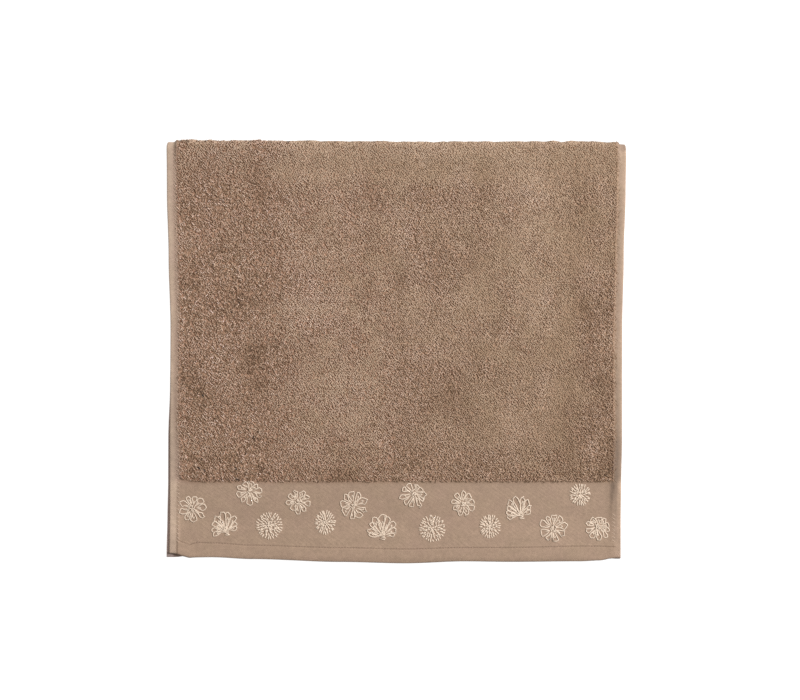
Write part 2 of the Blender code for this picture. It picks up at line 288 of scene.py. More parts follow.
SECTIONS = (
    # part, from line, to line, steps
    ("lower", "end", "hem_low", 8),
    ("lower", "hem_low", "hem_high", 3),
    ("lower", "hem_high", "pile_low", 6),
    ("lower", "pile_low", "pile_high", 4),
    ("lower", "pile_high", "ease", 26),
    ("lower", "ease", "arc", 6),
    ("fold", "arc", "arc", 14),
    ("upper", "arc", "ease", 10),
    ("upper", "ease", "pile_high", 70),
    ("upper", "pile_high", "pile_low", 8),
    ("upper", "pile_low", "hem_high", 40),
    ("upper", "hem_high", "hem_low", 16),
    ("upper", "hem_low", "end", 10),
)
EDGE_INSETS = (0.0, 0.12, 0.35, 0.7, 1.2, 2.0, 3.4, 5.0, 6.6, 7.8, 8.5, 9.1, 9.7, 10.3, 11.1, 12.2, 13.6)
INNER_STEPS = 112       # columns between the two side strips
END_SHARES = (0.0, 0.010, 0.028, 0.055, 0.10)   # sections close to each end, for its round edge


# ---------------------------------------------------------------- small tools
def smooth(value):
    value = np.clip(value, 0.0, 1.0)
    return value * value * (3.0 - 2.0 * value)


def mix(low, high, share):
    return low + (high - low) * share


def look_up(table, columns, column, at):
    rows = np.array(table)
    keys, values = rows[:, 0], rows[:, columns.index(column)]
    at = np.clip(at, keys[0], keys[-1])
    before = np.clip(np.searchsorted(keys, at, side="right") - 1, 0, len(keys) - 2)
    share = (at - keys[before]) / (keys[before + 1] - keys[before])
    return mix(values[before], values[before + 1], smooth(share))


def unit(vectors):
    return vectors / np.maximum(np.linalg.norm(vectors, axis=-1, keepdims=True), 1e-12)


def lattice_noise(x, y, cell, seed):
    """Smooth noise from -1 to 1 with features about one cell wide."""
    source = np.random.default_rng(seed)
    values = source.uniform(-1.0, 1.0, (97, 89))
    u, v = np.asarray(x) / cell + 1000.0, np.asarray(y) / cell + 1000.0
    i, j = np.floor(u).astype(int), np.floor(v).astype(int)
    fu, fv = smooth(u - i), smooth(v - j)
    low = mix(values[i % 97, j % 89], values[(i + 1) % 97, j % 89], fu)
    high = mix(values[i % 97, (j + 1) % 89], values[(i + 1) % 97, (j + 1) % 89], fu)
    return mix(low, high, fv)


def make_mesh(name, points, quads, uv=None, uv_name="OFBake", **attributes):
    """A smooth mesh object from points in mm and quads. uv is a pair for each corner."""
    mesh = bpy.data.meshes.new(name)
    quads = np.asarray(quads, np.int32)
    mesh.vertices.add(len(points))
    places = np.asarray(points, np.float64) + np.array(FRAME_SHIFT)
    mesh.vertices.foreach_set("co", (places * MM).astype(np.float32).ravel())
    mesh.loops.add(quads.size)
    mesh.loops.foreach_set("vertex_index", quads.ravel())
    mesh.polygons.add(len(quads))
    mesh.polygons.foreach_set("loop_start", np.arange(0, quads.size, 4, dtype=np.int32))
    mesh.polygons.foreach_set("use_smooth", np.ones(len(quads), bool))
    if uv is not None:
        layer = mesh.uv_layers.new(name=uv_name)
        layer.data.foreach_set("uv", np.asarray(uv, np.float32).ravel())
    for key, values in attributes.items():
        layer = mesh.attributes.new(key, "FLOAT", "POINT")
        layer.data.foreach_set("value", np.asarray(values, np.float32).ravel())
    mesh.update(calc_edges=True)
    mesh.validate()
    piece = bpy.data.objects.new(name, mesh)
    bpy.context.scene.collection.objects.link(piece)
    return piece


# ---------------------------------------------------------------- the folded cloth's surface
def line_at(name, across, layer):
    low_layer = layer == "lower"
    end = look_up(LINES, LINE_COLUMNS, "lower" if low_layer else "upper", across)
    hem = end + END_HEM_DEEP if low_layer else look_up(LINES, LINE_COLUMNS, "hem", across)
    pile = look_up(LINES, LINE_COLUMNS, "pile", across) + (UNDER_BAND_EXTRA if low_layer else 0.0)
    fold = look_up(LINES, LINE_COLUMNS, "fold", across)
    return {
        "end": end,
        "hem": hem,
        "hem_low": hem - HEM_STEP / 2,
        "hem_high": hem + HEM_STEP / 2,
        "pile": pile,
        "pile_low": pile - PILE_STEP / 2,
        "pile_high": pile + PILE_STEP / 2,
        "ease": fold - FOLD_EASE - FOLD_RADIUS,
        "arc": fold - FOLD_RADIUS,
        "fold": fold,
    }[name]


def hem_inset(across, y, inset):
    """Distance from the cloth's side, as if the side hems were equally wide everywhere."""
    left, right = (look_up(HEM_WIDTHS, HEM_WIDTH_COLUMNS, side, y) for side in ("left", "right"))
    return inset - np.where(across > 0.0, right, left) * smooth(inset / 5.0)


def side_share(inset, shift=0.0):
    return smooth((inset - SIDE_HEM_WIDE + shift) / SIDE_STEP)


def thickness(layer, across, y, inset, grow=0.0, shift=0.0):
    pile_low = line_at("pile_low", across, layer) - grow
    hem_low = line_at("hem_low", across, layer) + grow
    pile = smooth((y - pile_low) / PILE_STEP)
    hem = 1.0 - smooth((y - hem_low) / HEM_STEP)
    middle = mix(mix(BAND_THICK, END_HEM_THICK, hem), TERRY_THICK, pile)
    edge = mix(SIDE_HEM_THICK, END_HEM_THICK, hem)
    return mix(edge, middle, side_share(inset, shift))


def terry_share(layer, across, y, inset):
    pile = smooth((y - line_at("pile_low", across, layer)) / PILE_STEP)
    return pile * side_share(inset)


def waves(across, y):
    total = 0.25 * np.sin(across / 31.0 + 1.3) * np.sin(y / 27.0 + 0.4)
    for row in WAVES:
        wave = dict(zip(WAVE_COLUMNS, row))
        off = ((across - wave["across"]) / wave["half_wide"]) ** 2
        off = off + ((y - wave["along"]) / wave["half_long"]) ** 2
        total = total + wave["height"] * np.exp(-off)
    lift = np.hypot(across - LINES[0][0], y - LINES[0][4]) / CORNER_REACH
    return total + CORNER_LIFT * np.exp(-lift * lift)


def fold_radius(across, inset):
    swell = 0.3 * np.sin(across / 37.0) + 0.2 * np.sin(across / 13.0 + 2.0)
    return mix(FOLD_RADIUS_HEM, FOLD_RADIUS + swell, smooth((inset - 4.5) / 6.5))


def top_of_upper(across, y, inset):
    """Height of the upper layer's face, pile included."""
    pile = line_at("pile_low", across, "lower") - COVER_REACH
    stiff = smooth((y - (pile + PILE_STEP - BAND_REST)) / BAND_REST)
    hem = 1.0 - smooth((y - (line_at("hem_low", across, "lower") + COVER_REACH)) / 16.0)
    middle = mix(mix(BAND_THICK, END_HEM_THICK, hem), TERRY_THICK, stiff)
    lift = EDGE_LIFT * np.exp(-((np.minimum(y - pile, 0.0) / (0.50 * BAND_REST)) ** 2))
    edge = mix(SIDE_HEM_THICK, END_HEM_THICK, hem) + lift
    soft = smooth((inset - SIDE_HEM_WIDE + 1.0) / SIDE_SLOPE)
    cover = np.maximum(mix(edge, middle, soft), mix(edge, middle, side_share(inset, SIDE_REACH)))
    past = line_at("end", across, "lower") - 1.0 - y
    cover = cover * (1.0 - OVERHANG_DROOP * smooth(past / 6.0))
    flat = cover + LAYER_GAP + thickness("upper", across, y, inset)
    flat = flat + TERRY_AIR * side_share(inset) * stiff
    rise = np.where(across < 0.0, HEM_RISE_LEFT, HEM_RISE_RIGHT) * smooth((inset - 3.5) / 5.5)
    flat = flat + rise * (1.0 - side_share(inset)) * smooth((y - line_at("pile_low", across, "upper")) / PILE_STEP)
    bulge = smooth((y - line_at("ease", across, "upper")) / FOLD_EASE)
    fade = (1.0 - bulge) * side_share(inset + 2.0)
    return mix(flat, 2.0 * fold_radius(across, inset), bulge) + fade * waves(across, y)


def band_relief(across, y, inset):
    """Fine relief of the flat band, the end hem and the side hems of the upper layer."""
    off_line = y - line_at("hem", across, "upper")
    seam = -0.35 * np.exp(-((off_line / 0.6) ** 2))
    pucker = 0.10 * np.sin(across / 1.9 + 2.0 * lattice_noise(across, y, 23.0, 5)) * np.exp(-((off_line / 4.0) ** 2))
    slack = 0.22 * lattice_noise(across, y * 1.4, 17.0, 6) + 0.10 * lattice_noise(across, y, 6.5, 7)
    slack = slack * smooth((inset - 6.0) / 10.0)
    inner = side_share(inset, 2.0)
    side_seam = -0.04 * np.exp(-(((inset - SIDE_HEM_WIDE - 1.1) / 0.9) ** 2))
    beside = smooth((-146.0 - y) / 12.0) * smooth((y + 213.0) / 6.0) * (across > 0.0)
    low = smooth((inset - SIDE_HEM_WIDE) / 5.5)
    slope = beside * (0.9 * (side_share(inset) - low) - 0.6 * (1.0 - low) * smooth(inset / 3.0))
    tug = 0.5 * np.exp(-(np.hypot(across - 227.0, y + 211.7) / 3.0) ** 2)
    return inner * (seam + pucker + slack) + side_seam + slope - inner * tug


COLUMN_PLACES = (
    [(0.0, inset) for inset in EDGE_INSETS]
    + [
        (step / INNER_STEPS, EDGE_INSETS[-1] * (1.0 - 2.0 * step / INNER_STEPS))
        for step in range(1, INNER_STEPS)
    ]
    + [(1.0, -inset) for inset in reversed(EDGE_INSETS)]
)
COLUMN_SHARE = np.array([share for share, _ in COLUMN_PLACES])
COLUMN_OFF = np.array([off for _, off in COLUMN_PLACES])


def all_sections():
    rows = []
    for number, (part, start, stop, steps) in enumerate(SECTIONS):
        shares = [step / steps for step in range(0 if not rows else 1, steps + 1)]
        if number == 0:
            shares = list(END_SHARES) + [s for s in shares if s > END_SHARES[-1]]
        if number == len(SECTIONS) - 1:
            shares = [s for s in shares if s < 1.0 - END_SHARES[-1]] + [1.0 - s for s in reversed(END_SHARES)]
        rows += [(part, start, stop, share) for share in shares]
    return rows


def build_surface():
    """Grids, a row for each section and a column for each place across, of the cloth's outer
    face, its thickness and its zones."""
    rows = all_sections()
    shape = (len(rows), len(COLUMN_SHARE))
    face = np.zeros(shape + (3,))
    thick, terry, inset_at, flat_x = (np.zeros(shape) for _ in range(4))
    for number, (part, start, stop, share) in enumerate(rows):
        layer = "lower" if part == "lower" else "upper"
        x = mix(LINES[0][0], LINES[-1][0], COLUMN_SHARE) + COLUMN_OFF
        for _ in range(3):
            if part == "fold":
                y = line_at("arc", x, layer) + FOLD_RADIUS * math.sin(math.pi * share)
            else:
                y = mix(line_at(start, x, layer), line_at(stop, x, layer), share)
            down = FOLD_TOP - y
            swap = {"lower": 0.0, "upper": 1.0}.get(part, float(smooth(share)))
            left, right = (
                mix(look_up(SIDES, SIDE_COLUMNS, "lower_" + side, down), look_up(SIDES, SIDE_COLUMNS, "upper_" + side, down), swap)
                for side in ("left", "right")
            )
            x = left * (1.0 - COLUMN_SHARE) + right * COLUMN_SHARE + COLUMN_OFF
            inset = hem_inset(x, y, np.minimum(x - left, right - x))
        near_fold = {"arc": 1.0 - share, "ease": 0.0}.get(start, 0.0) + {"arc": share}.get(stop, 0.0)
        near_fold = 1.0 if part == "fold" else near_fold
        swell = lattice_noise(x, 0.0 * x, 10.0, 61) + 0.5 * lattice_noise(x, 0.0 * x + 50.0, 5.0, 62)
        y = y + near_fold * FOLD_LUMPS * side_share(inset) * swell
        if part == "fold":
            z = fold_radius(x, inset) * (1.0 - math.cos(math.pi * share))
            thick[number] = mix(SIDE_HEM_THICK, TERRY_THICK, side_share(inset))
            terry[number] = side_share(inset)
        else:
            thick[number] = thickness(layer, x, y, inset)
            terry[number] = terry_share(layer, x, y, inset)
            z = np.zeros_like(x) if part == "lower" else top_of_upper(x, y, inset)
        face[number, :, 0], face[number, :, 1], face[number, :, 2] = x, y, z
        inset_at[number] = inset
    return rows, face, thick, terry, inset_at


def grid_normals(face):
    """Outward normals of a grid whose rows run along the cloth and columns across."""
    along = np.gradient(face, axis=0)
    across = np.gradient(face, axis=1)
    return unit(np.cross(along, across))


ROWS, FACE, THICK, TERRY, INSET = build_surface()
NORMALS = grid_normals(FACE)
PARTS = np.array([{"lower": 0, "fold": 1, "upper": 2}[row[0]] for row in ROWS])
# Along: the distance from the lower end, measured down the middle column.
MIDDLE = FACE.shape[1] // 2
ALONG = np.concatenate([[0.0], np.cumsum(np.linalg.norm(np.diff(FACE[:, MIDDLE], axis=0), axis=1))])
ACROSS = np.where(COLUMN_SHARE == 0.0, COLUMN_OFF, COLUMN_SHARE * 491.0 + COLUMN_OFF)
print("cloth", FACE.shape, "flat length", round(ALONG[-1], 1))

# The pile rises from the weave on the fold and the upper layer; the face below is left to bump.
fold_row = int(np.argmax(PARTS == 1))
PILE_ON = smooth((ALONG - (ALONG[fold_row] - 16.0)) / 8.0)[:, None] * TERRY
GROUND = FACE - NORMALS * (PILE_HIGH * PILE_ON)[..., None]
UPPER = (PARTS == 2)[:, None] * np.ones_like(TERRY)


def ground_with_relief():
    relief = band_relief(FACE[..., 0], FACE[..., 1], INSET) * UPPER * (1.0 - TERRY)
    return GROUND + NORMALS * relief[..., None]


GROUND = ground_with_relief()


def at_grid(grid, row, column):
    """Grid values between its rows and columns."""
    i = np.clip(np.floor(row).astype(int), 0, grid.shape[0] - 2)
    j = np.clip(np.floor(column).astype(int), 0, grid.shape[1] - 2)
    fi, fj = row - i, column - j
    if grid.ndim == 3:
        fi, fj = fi[..., None], fj[..., None]
    low = mix(grid[i, j], grid[i, j + 1], fj)
    high = mix(grid[i + 1, j], grid[i + 1, j + 1], fj)
    return mix(low, high, fi)


# ---------------------------------------------------------------- materials
def new_material(name):
    material = bpy.data.materials.new(name)
    material.use_nodes = True
    tree = material.node_tree
    return material, tree, tree.nodes["Principled BSDF"]


def node(tree, kind, **settings):
    made = tree.nodes.new(kind)
    for key, value in settings.items():
        setattr(made, key, value)
    return made


def maths(tree, operation, a, b=None, clamp=False):
    made = node(tree, "ShaderNodeMath", operation=operation, use_clamp=clamp)
    for place, value in enumerate((a, b)):
        if value is None:
            continue
        if isinstance(value, (int, float)):
            made.inputs[place].default_value = value
        else:
            tree.links.new(value, made.inputs[place])
    return made.outputs[0]


def mix_colour(tree, share, low, high, blend="MIX"):
    made = node(tree, "ShaderNodeMix", data_type="RGBA", blend_type=blend)
    for key, value in (("Factor", share), ("A", low), ("B", high)):
        socket = next(s for s in made.inputs if s.name == key and s.enabled)
        if isinstance(value, (int, float)):
            socket.default_value = value
        elif isinstance(value, tuple):
            socket.default_value = (*value, 1.0)
        else:
            tree.links.new(value, socket)
    return next(s for s in made.outputs if s.enabled)


def attribute(tree, name):
    return node(tree, "ShaderNodeAttribute", attribute_name=name).outputs["Fac"]


def scaled(tree, colour, amount):
    """The colour times a number that varies over the surface."""
    made = node(tree, "ShaderNodeVectorMath", operation="SCALE")
    tree.links.new(colour, made.inputs[0])
    tree.links.new(amount, made.inputs["Scale"])
    return made.outputs[0]


YARN_COLOUR = (0.401, 0.291, 0.210)
# Colour of the loops' feet and flanks: painted shade.
YARN_PAINTED_SHADE = (0.195, 0.055, 0.018)
BAND_COLOUR = (0.246, 0.172, 0.124)
SIDE_COLOUR = (0.352, 0.262, 0.199)
# The right side hem is the same cloth as the left one, painted darker as painted shade, to offset the key light from
# the right.
SIDE_COLOUR_RIGHT_SHADED = (0.225, 0.160, 0.117)
FLOWER_COLOUR = (0.525, 0.428, 0.340)
RIB_PITCH = 3.6         # of the twill's ribs


def hue_patches(tree, place, colour):
    """Broad and faint changes of hue, towards olive and towards mauve."""
    patches = node(tree, "ShaderNodeTexNoise")
    patches.inputs["Scale"].default_value = 42.0
    patches.inputs["Detail"].default_value = 1.0
    tree.links.new(place, patches.inputs["Vector"])
    tint = mix_colour(tree, patches.outputs["Fac"], (0.986, 1.008, 0.972), (1.014, 0.992, 1.028))
    return mix_colour(tree, 1.0, colour, tint, "MULTIPLY")


def pile_material():
    material, tree, shader = new_material("terry_yarn")
    depth = attribute(tree, "depth")
    tone = attribute(tree, "tone")
    place = node(tree, "ShaderNodeTexCoord").outputs["Object"]
    fuzz = node(tree, "ShaderNodeTexNoise")
    fuzz.inputs["Scale"].default_value = 2300.0
    fuzz.inputs["Detail"].default_value = 2.0
    tree.links.new(place, fuzz.inputs["Vector"])
    # Painted shade: down a loop's flanks to its feet the colour turns to the darker shade colour.
    share = node(tree, "ShaderNodeMapRange", interpolation_type="SMOOTHSTEP")
    tree.links.new(depth, share.inputs["Value"])
    share.inputs["From Min"].default_value = 0.40
    share.inputs["From Max"].default_value = 0.80
    colour = hue_patches(tree, place, mix_colour(tree, share.outputs[0], YARN_PAINTED_SHADE, YARN_COLOUR))
    speck = maths(tree, "MULTIPLY_ADD", fuzz.outputs["Fac"], 0.24)
    speck.node.inputs[2].default_value = 0.88
    # Loops painted darker are a warmer brown, loops painted lighter are greyer: the hues of painted shade and light.
    level = node(tree, "ShaderNodeCombineXYZ")
    for channel, power in zip("XYZ", (0.86, 1.06, 1.40)):
        tree.links.new(maths(tree, "POWER", tone, power), level.inputs[channel])
    toned = node(tree, "ShaderNodeVectorMath", operation="MULTIPLY")
    tree.links.new(scaled(tree, colour, speck), toned.inputs[0])
    tree.links.new(level.outputs[0], toned.inputs[1])
    tree.links.new(toned.outputs[0], shader.inputs["Base Color"])
    shader.inputs["Roughness"].default_value = 0.6
    shader.inputs["Specular IOR Level"].default_value = 0.5
    shader.inputs["Sheen Weight"].default_value = 0.1
    shader.inputs["Sheen Roughness"].default_value = 0.5
    bump = node(tree, "ShaderNodeBump")
    bump.inputs["Strength"].default_value = 0.6
    bump.inputs["Distance"].default_value = 0.0002
    tree.links.new(fuzz.outputs["Fac"], bump.inputs["Height"])
    tree.links.new(bump.outputs[0], shader.inputs["Normal"])
    return material


def cloth_material():
    """The woven ground: band and hems in a fine weave, the terry's ground, and terry bump below."""
    material, tree, shader = new_material("towel_weave")
    terry, side, right, tone, seam, hem = (attribute(tree, name) for name in ("terry", "side", "right", "tone", "seam", "hem"))
    grey, warm = (attribute(tree, name) for name in ("grey", "warm"))
    flat = node(tree, "ShaderNodeUVMap", uv_map="cloth").outputs[0]
    # A fine weave: threads across and along, with a slight slant.
    weave = []
    for turn, pitch in ((0.0, 0.62), (math.radians(90), 0.74)):
        turned = node(tree, "ShaderNodeMapping")
        turned.inputs["Rotation"].default_value = (0.0, 0.0, turn + math.radians(8))
        tree.links.new(flat, turned.inputs["Vector"])
        wave = node(tree, "ShaderNodeTexWave", wave_type="BANDS", bands_direction="X")
        wave.inputs["Scale"].default_value = 1.0 / (pitch * MM) / 3.18
        wave.inputs["Distortion"].default_value = 1.6
        wave.inputs["Detail"].default_value = 1.0
        wave.inputs["Detail Scale"].default_value = 0.6
        tree.links.new(turned.outputs[0], wave.inputs["Vector"])
        weave.append(wave.outputs["Fac"])
    threads = maths(tree, "MAXIMUM", weave[0], weave[1])
    slub = node(tree, "ShaderNodeTexNoise")
    slub.inputs["Scale"].default_value = 250.0
    slub.inputs["Detail"].default_value = 3.0
    tree.links.new(flat, slub.inputs["Vector"])
    broad = node(tree, "ShaderNodeTexNoise")
    broad.inputs["Scale"].default_value = 60.0
    broad.inputs["Detail"].default_value = 2.0
    tree.links.new(flat, broad.inputs["Vector"])
    # The right side hem takes the darker copy of the hem colour: painted shade.
    side_colour = mix_colour(tree, right, SIDE_COLOUR, SIDE_COLOUR_RIGHT_SHADED)
    colour = mix_colour(tree, side, BAND_COLOUR, side_colour)
    # The terry's ground, and the terry faces left to bump, are painted a dark brown: painted shade of the loops over
    # them.
    colour = mix_colour(tree, terry, colour, (0.24, 0.152, 0.098))
    # Painted shade: the end hem's stitch line is painted darker, as the shade in its groove.
    colour = mix_colour(tree, maths(tree, "MULTIPLY", seam, 0.55), colour, (0.10, 0.058, 0.038))
    colour = hue_patches(tree, flat, colour)
    # Painted shade tints: the lower layer's inner face greyer and bluer, the left side hem redder beside the pile, as
    # shade.
    for share, tint in ((grey, (0.985, 1.0, 1.22)), (warm, (1.028, 0.984, 1.0))):
        colour = mix_colour(tree, 1.0, colour, mix_colour(tree, share, (1.0, 1.0, 1.0), tint), "MULTIPLY")
    level = maths(tree, "MULTIPLY_ADD", threads, 0.10)
    level.node.inputs[2].default_value = 0.93
    level2 = maths(tree, "MULTIPLY_ADD", slub.outputs["Fac"], 0.40)
    level2.node.inputs[2].default_value = 0.80
    level3 = maths(tree, "MULTIPLY_ADD", broad.outputs["Fac"], 0.20)
    level3.node.inputs[2].default_value = 0.90
    level = maths(tree, "MULTIPLY", maths(tree, "MULTIPLY", level, level2), maths(tree, "MULTIPLY", level3, tone))
    # The twill's slanting ribs, plain in some places and faint in others.
    turned = node(tree, "ShaderNodeMapping")
    turned.inputs["Rotation"].default_value = (0.0, 0.0, math.radians(53.0))
    tree.links.new(flat, turned.inputs["Vector"])
    rib = node(tree, "ShaderNodeTexWave", wave_type="BANDS", bands_direction="X")
    rib.inputs["Scale"].default_value = 1.0 / (RIB_PITCH * MM) / 3.18
    rib.inputs["Distortion"].default_value = 1.2
    rib.inputs["Detail"].default_value = 1.0
    rib.inputs["Detail Scale"].default_value = 0.5
    tree.links.new(turned.outputs[0], rib.inputs["Vector"])
    clear = node(tree, "ShaderNodeMapRange", interpolation_type="SMOOTHSTEP")
    tree.links.new(broad.outputs["Fac"], clear.inputs["Value"])
    clear.inputs["From Min"].default_value = 0.36
    clear.inputs["From Max"].default_value = 0.64
    plain = maths(tree, "MULTIPLY", maths(tree, "SUBTRACT", rib.outputs["Fac"], 0.5), clear.outputs[0])
    plain = maths(tree, "MULTIPLY", plain, maths(tree, "SUBTRACT", 1.0, maths(tree, "MAXIMUM", side, hem)))
    ribbed = maths(tree, "MULTIPLY_ADD", plain, 0.10)
    ribbed.node.inputs[2].default_value = 1.0
    level = maths(tree, "MULTIPLY", level, ribbed)
    tree.links.new(scaled(tree, colour, level), shader.inputs["Base Color"])
    shader.inputs["Roughness"].default_value = 0.9
    shader.inputs["Specular IOR Level"].default_value = 0.2
    shader.inputs["Sheen Weight"].default_value = 0.1
    # Terry that isn't made as loops: the underside and the inner faces.
    loops = node(tree, "ShaderNodeTexVoronoi", feature="F1")
    loops.inputs["Scale"].default_value = 520.0
    tree.links.new(flat, loops.inputs["Vector"])
    curl = maths(tree, "MULTIPLY", maths(tree, "SUBTRACT", 1.0, loops.outputs["Distance"]), terry)
    fine = maths(tree, "MULTIPLY", threads, maths(tree, "SUBTRACT", 1.0, terry))
    height = maths(tree, "ADD", maths(tree, "MULTIPLY", fine, 0.10), maths(tree, "MULTIPLY", curl, 0.9))
    height = maths(tree, "ADD", height, maths(tree, "MULTIPLY", slub.outputs["Fac"], 0.12))
    bump = node(tree, "ShaderNodeBump")
    bump.inputs["Strength"].default_value = 0.9
    bump.inputs["Distance"].default_value = 0.001
    tree.links.new(height, bump.inputs["Height"])
    tree.links.new(bump.outputs[0], shader.inputs["Normal"])
    return material


def yarn_material(name, colour, twist):
    material, tree, shader = new_material(name)
    place = node(tree, "ShaderNodeTexCoord").outputs["Object"]
    fuzz = node(tree, "ShaderNodeTexNoise")
    fuzz.inputs["Scale"].default_value = 1900.0
    fuzz.inputs["Detail"].default_value = 2.0
    tree.links.new(place, fuzz.inputs["Vector"])
    level = maths(tree, "MULTIPLY_ADD", fuzz.outputs["Fac"], 0.30)
    level.node.inputs[2].default_value = 0.85
    base = node(tree, "ShaderNodeRGB")
    base.outputs[0].default_value = (*colour, 1.0)
    tree.links.new(scaled(tree, base.outputs[0], level), shader.inputs["Base Color"])
    shader.inputs["Roughness"].default_value = 0.7
    shader.inputs["Specular IOR Level"].default_value = 0.3
    shader.inputs["Sheen Weight"].default_value = 0.1
    bump = node(tree, "ShaderNodeBump")
    bump.inputs["Strength"].default_value = twist
    bump.inputs["Distance"].default_value = 0.0002
    tree.links.new(fuzz.outputs["Fac"], bump.inputs["Height"])
    tree.links.new(bump.outputs[0], shader.inputs["Normal"])
    return material


# ---------------------------------------------------------------- the woven cloth
def tone_at(across, y):
    """Broad light and dark patches of the pile, painted as the light and shade where the loops lie one way or another,
    with faint random tone.
    """
    tone = np.zeros(np.shape(across))
    for row in TONES:
        patch = dict(zip(TONE_COLUMNS, row))
        turn = math.radians(patch["turn"])
        dx, dy = across - patch["across"], y - patch["along"]
        a = dx * math.cos(turn) + dy * math.sin(turn)
        b = dy * math.cos(turn) - dx * math.sin(turn)
        tone = tone + patch["tone"] * np.exp(-((a / patch["half_wide"]) ** 2) - (b / patch["half_long"]) ** 2)
    tone = tone + 0.05 * lattice_noise(across * 1.3, y * 0.7, 19.0, 11)
    tone = tone + 0.07 * lattice_noise(across * 1.1, y * 0.8, 8.0, 12)
    return tone


def build_cloth():
    """One closed sheet: its outer face, its inner face, and round edges where they meet."""
    rows, columns = THICK.shape
    # How far in each point is from the nearest edge of the cloth, for the edges' round profile.
    from_end = np.minimum(
        np.linalg.norm(FACE - FACE[:1], axis=2) + 1e3 * (PARTS != 0)[:, None],
        np.linalg.norm(FACE - FACE[-1:], axis=2) + 1e3 * (PARTS != 2)[:, None],
    )
    edge = np.minimum(INSET, from_end)
    half = THICK / 2.0
    swell = np.sqrt(np.clip(1.0 - (1.0 - np.clip(edge / 1.1, 0.0, 1.0)) ** 2, 0.0, 1.0))
    middle = FACE - NORMALS * half[..., None]
    inner = middle - NORMALS * (half * swell)[..., None]
    lift = np.einsum("ijk,ijk->ij", GROUND - middle, NORMALS)
    outer = middle + NORMALS * (lift * swell)[..., None]
    number = np.arange(rows * columns).reshape(rows, columns)
    back = number + rows * columns
    rim = np.zeros((rows, columns), bool)
    rim[0], rim[-1], rim[:, 0], rim[:, -1] = True, True, True, True
    back = np.where(rim, number, back)
    quads_out = np.stack([number[:-1, :-1], number[1:, :-1], number[1:, 1:], number[:-1, 1:]], -1).reshape(-1, 4)
    quads_in = np.stack([back[:-1, :-1], back[:-1, 1:], back[1:, 1:], back[1:, :-1]], -1).reshape(-1, 4)
    quads = np.concatenate([quads_out, quads_in])
    points = np.concatenate([outer.reshape(-1, 3), inner.reshape(-1, 3)])
    flat = np.stack(np.broadcast_arrays(ACROSS[None, :], ALONG[:, None]), -1).reshape(-1, 2)
    flat = np.concatenate([flat, flat])
    corners = flat[quads.reshape(-1) % (rows * columns)]
    # Bake map: the outer face left, the inner face right, each inside its own half.
    wide, long = ACROSS[-1], ALONG[-1]
    bake = corners / np.array([wide, long])
    bake = bake * np.array([0.48, 0.98]) + np.array([0.01, 0.01])
    bake[len(quads_out) * 4:, 0] += 0.5
    terry = np.concatenate([TERRY.ravel(), TERRY.ravel()])
    on_left = (COLUMN_SHARE < 0.5)[None, :] * np.ones((rows, 1))
    by_pile = smooth((FACE[..., 1] + 146.0) / 8.0)
    side_from = mix(5.5, mix(4.6, 5.6, by_pile), on_left)
    side_over = mix(5.0, mix(2.8, 3.6, by_pile), on_left)
    side = (1.0 - smooth((INSET - side_from) / side_over)).ravel()
    right = (COLUMN_SHARE[None, :] * np.ones((rows, 1))).ravel()
    tone = np.ones((rows, columns))
    tone += 0.035 * lattice_noise(FACE[..., 0], FACE[..., 1], 26.0, 21) + 0.02 * lattice_noise(FACE[..., 0], FACE[..., 1], 9.0, 22)
    # Painted light and shade on the side hems of the upper layer, from the table of hem tones.
    hem_tone = 1.0
    for side_name, chosen in (("left", COLUMN_SHARE < 0.5), ("right", COLUMN_SHARE > 0.5)):
        outer, inner_tone = (look_up(HEM_TONES, HEM_TONE_COLUMNS, f"{side_name}_{place}", FACE[..., 1]) for place in ("outer", "inner"))
        along_hem = mix(outer, inner_tone, smooth((INSET - 1.0) / 6.0))
        hem_tone = np.where(chosen[None, :] & (UPPER > 0.0), along_hem, hem_tone)
    tone *= mix(hem_tone, 1.0, smooth((INSET - mix(6.5, mix(4.6, 7.0, by_pile), on_left)) / mix(4.0, mix(2.8, 3.5, by_pile), on_left)))
    end_hem = (1.0 - smooth((FACE[..., 1] - line_at("hem", FACE[..., 0], "upper")) / 1.5)) * UPPER
    tone *= 1.0 + end_hem * mix(0.04, -0.02, COLUMN_SHARE)[None, :]
    # Painted shadow: dark strips on the band and the pile beside the right side hem's inner edge, as the raised hem
    # shades them.
    beside = smooth((FACE[..., 1] + 182.0) / 34.0) * smooth((-140.0 - FACE[..., 1]) / 3.0) * UPPER * (COLUMN_SHARE > 0.5)[None, :]
    tone *= 1.0 - 0.27 * beside * np.exp(-(((INSET - 11.8) / 2.6) ** 2))
    beside = smooth((FACE[..., 1] + 182.0) / 34.0) * smooth((-88.0 - FACE[..., 1]) / 20.0) * UPPER * (COLUMN_SHARE > 0.5)[None, :]
    tone *= 1.0 - 0.30 * beside * np.exp(-(((INSET - 9.9) / 2.0) ** 2))
    # Painted shade along the upper layer's end edge, deeper and wider by the left corner where the edge curls.
    curl = 0.22 * np.exp(-(((FACE[..., 0] + 225.0) / 9.0) ** 2))
    tone *= 1.0 - (0.45 + curl) * UPPER * np.exp(-((from_end / (1.1 + 2.0 * curl)) ** 2))
    tone = tone.ravel()
    # Where the end hem's stitch line is painted dark, as the shade in its groove.
    seam = np.exp(-(((FACE[..., 1] - line_at("hem", FACE[..., 0], "upper")) / 0.55) ** 2)) * UPPER * side_share(INSET, 2.0)
    seam = np.concatenate([seam.ravel(), 0.0 * seam.ravel()])
    hem = np.concatenate([end_hem.ravel(), 0.0 * end_hem.ravel()])
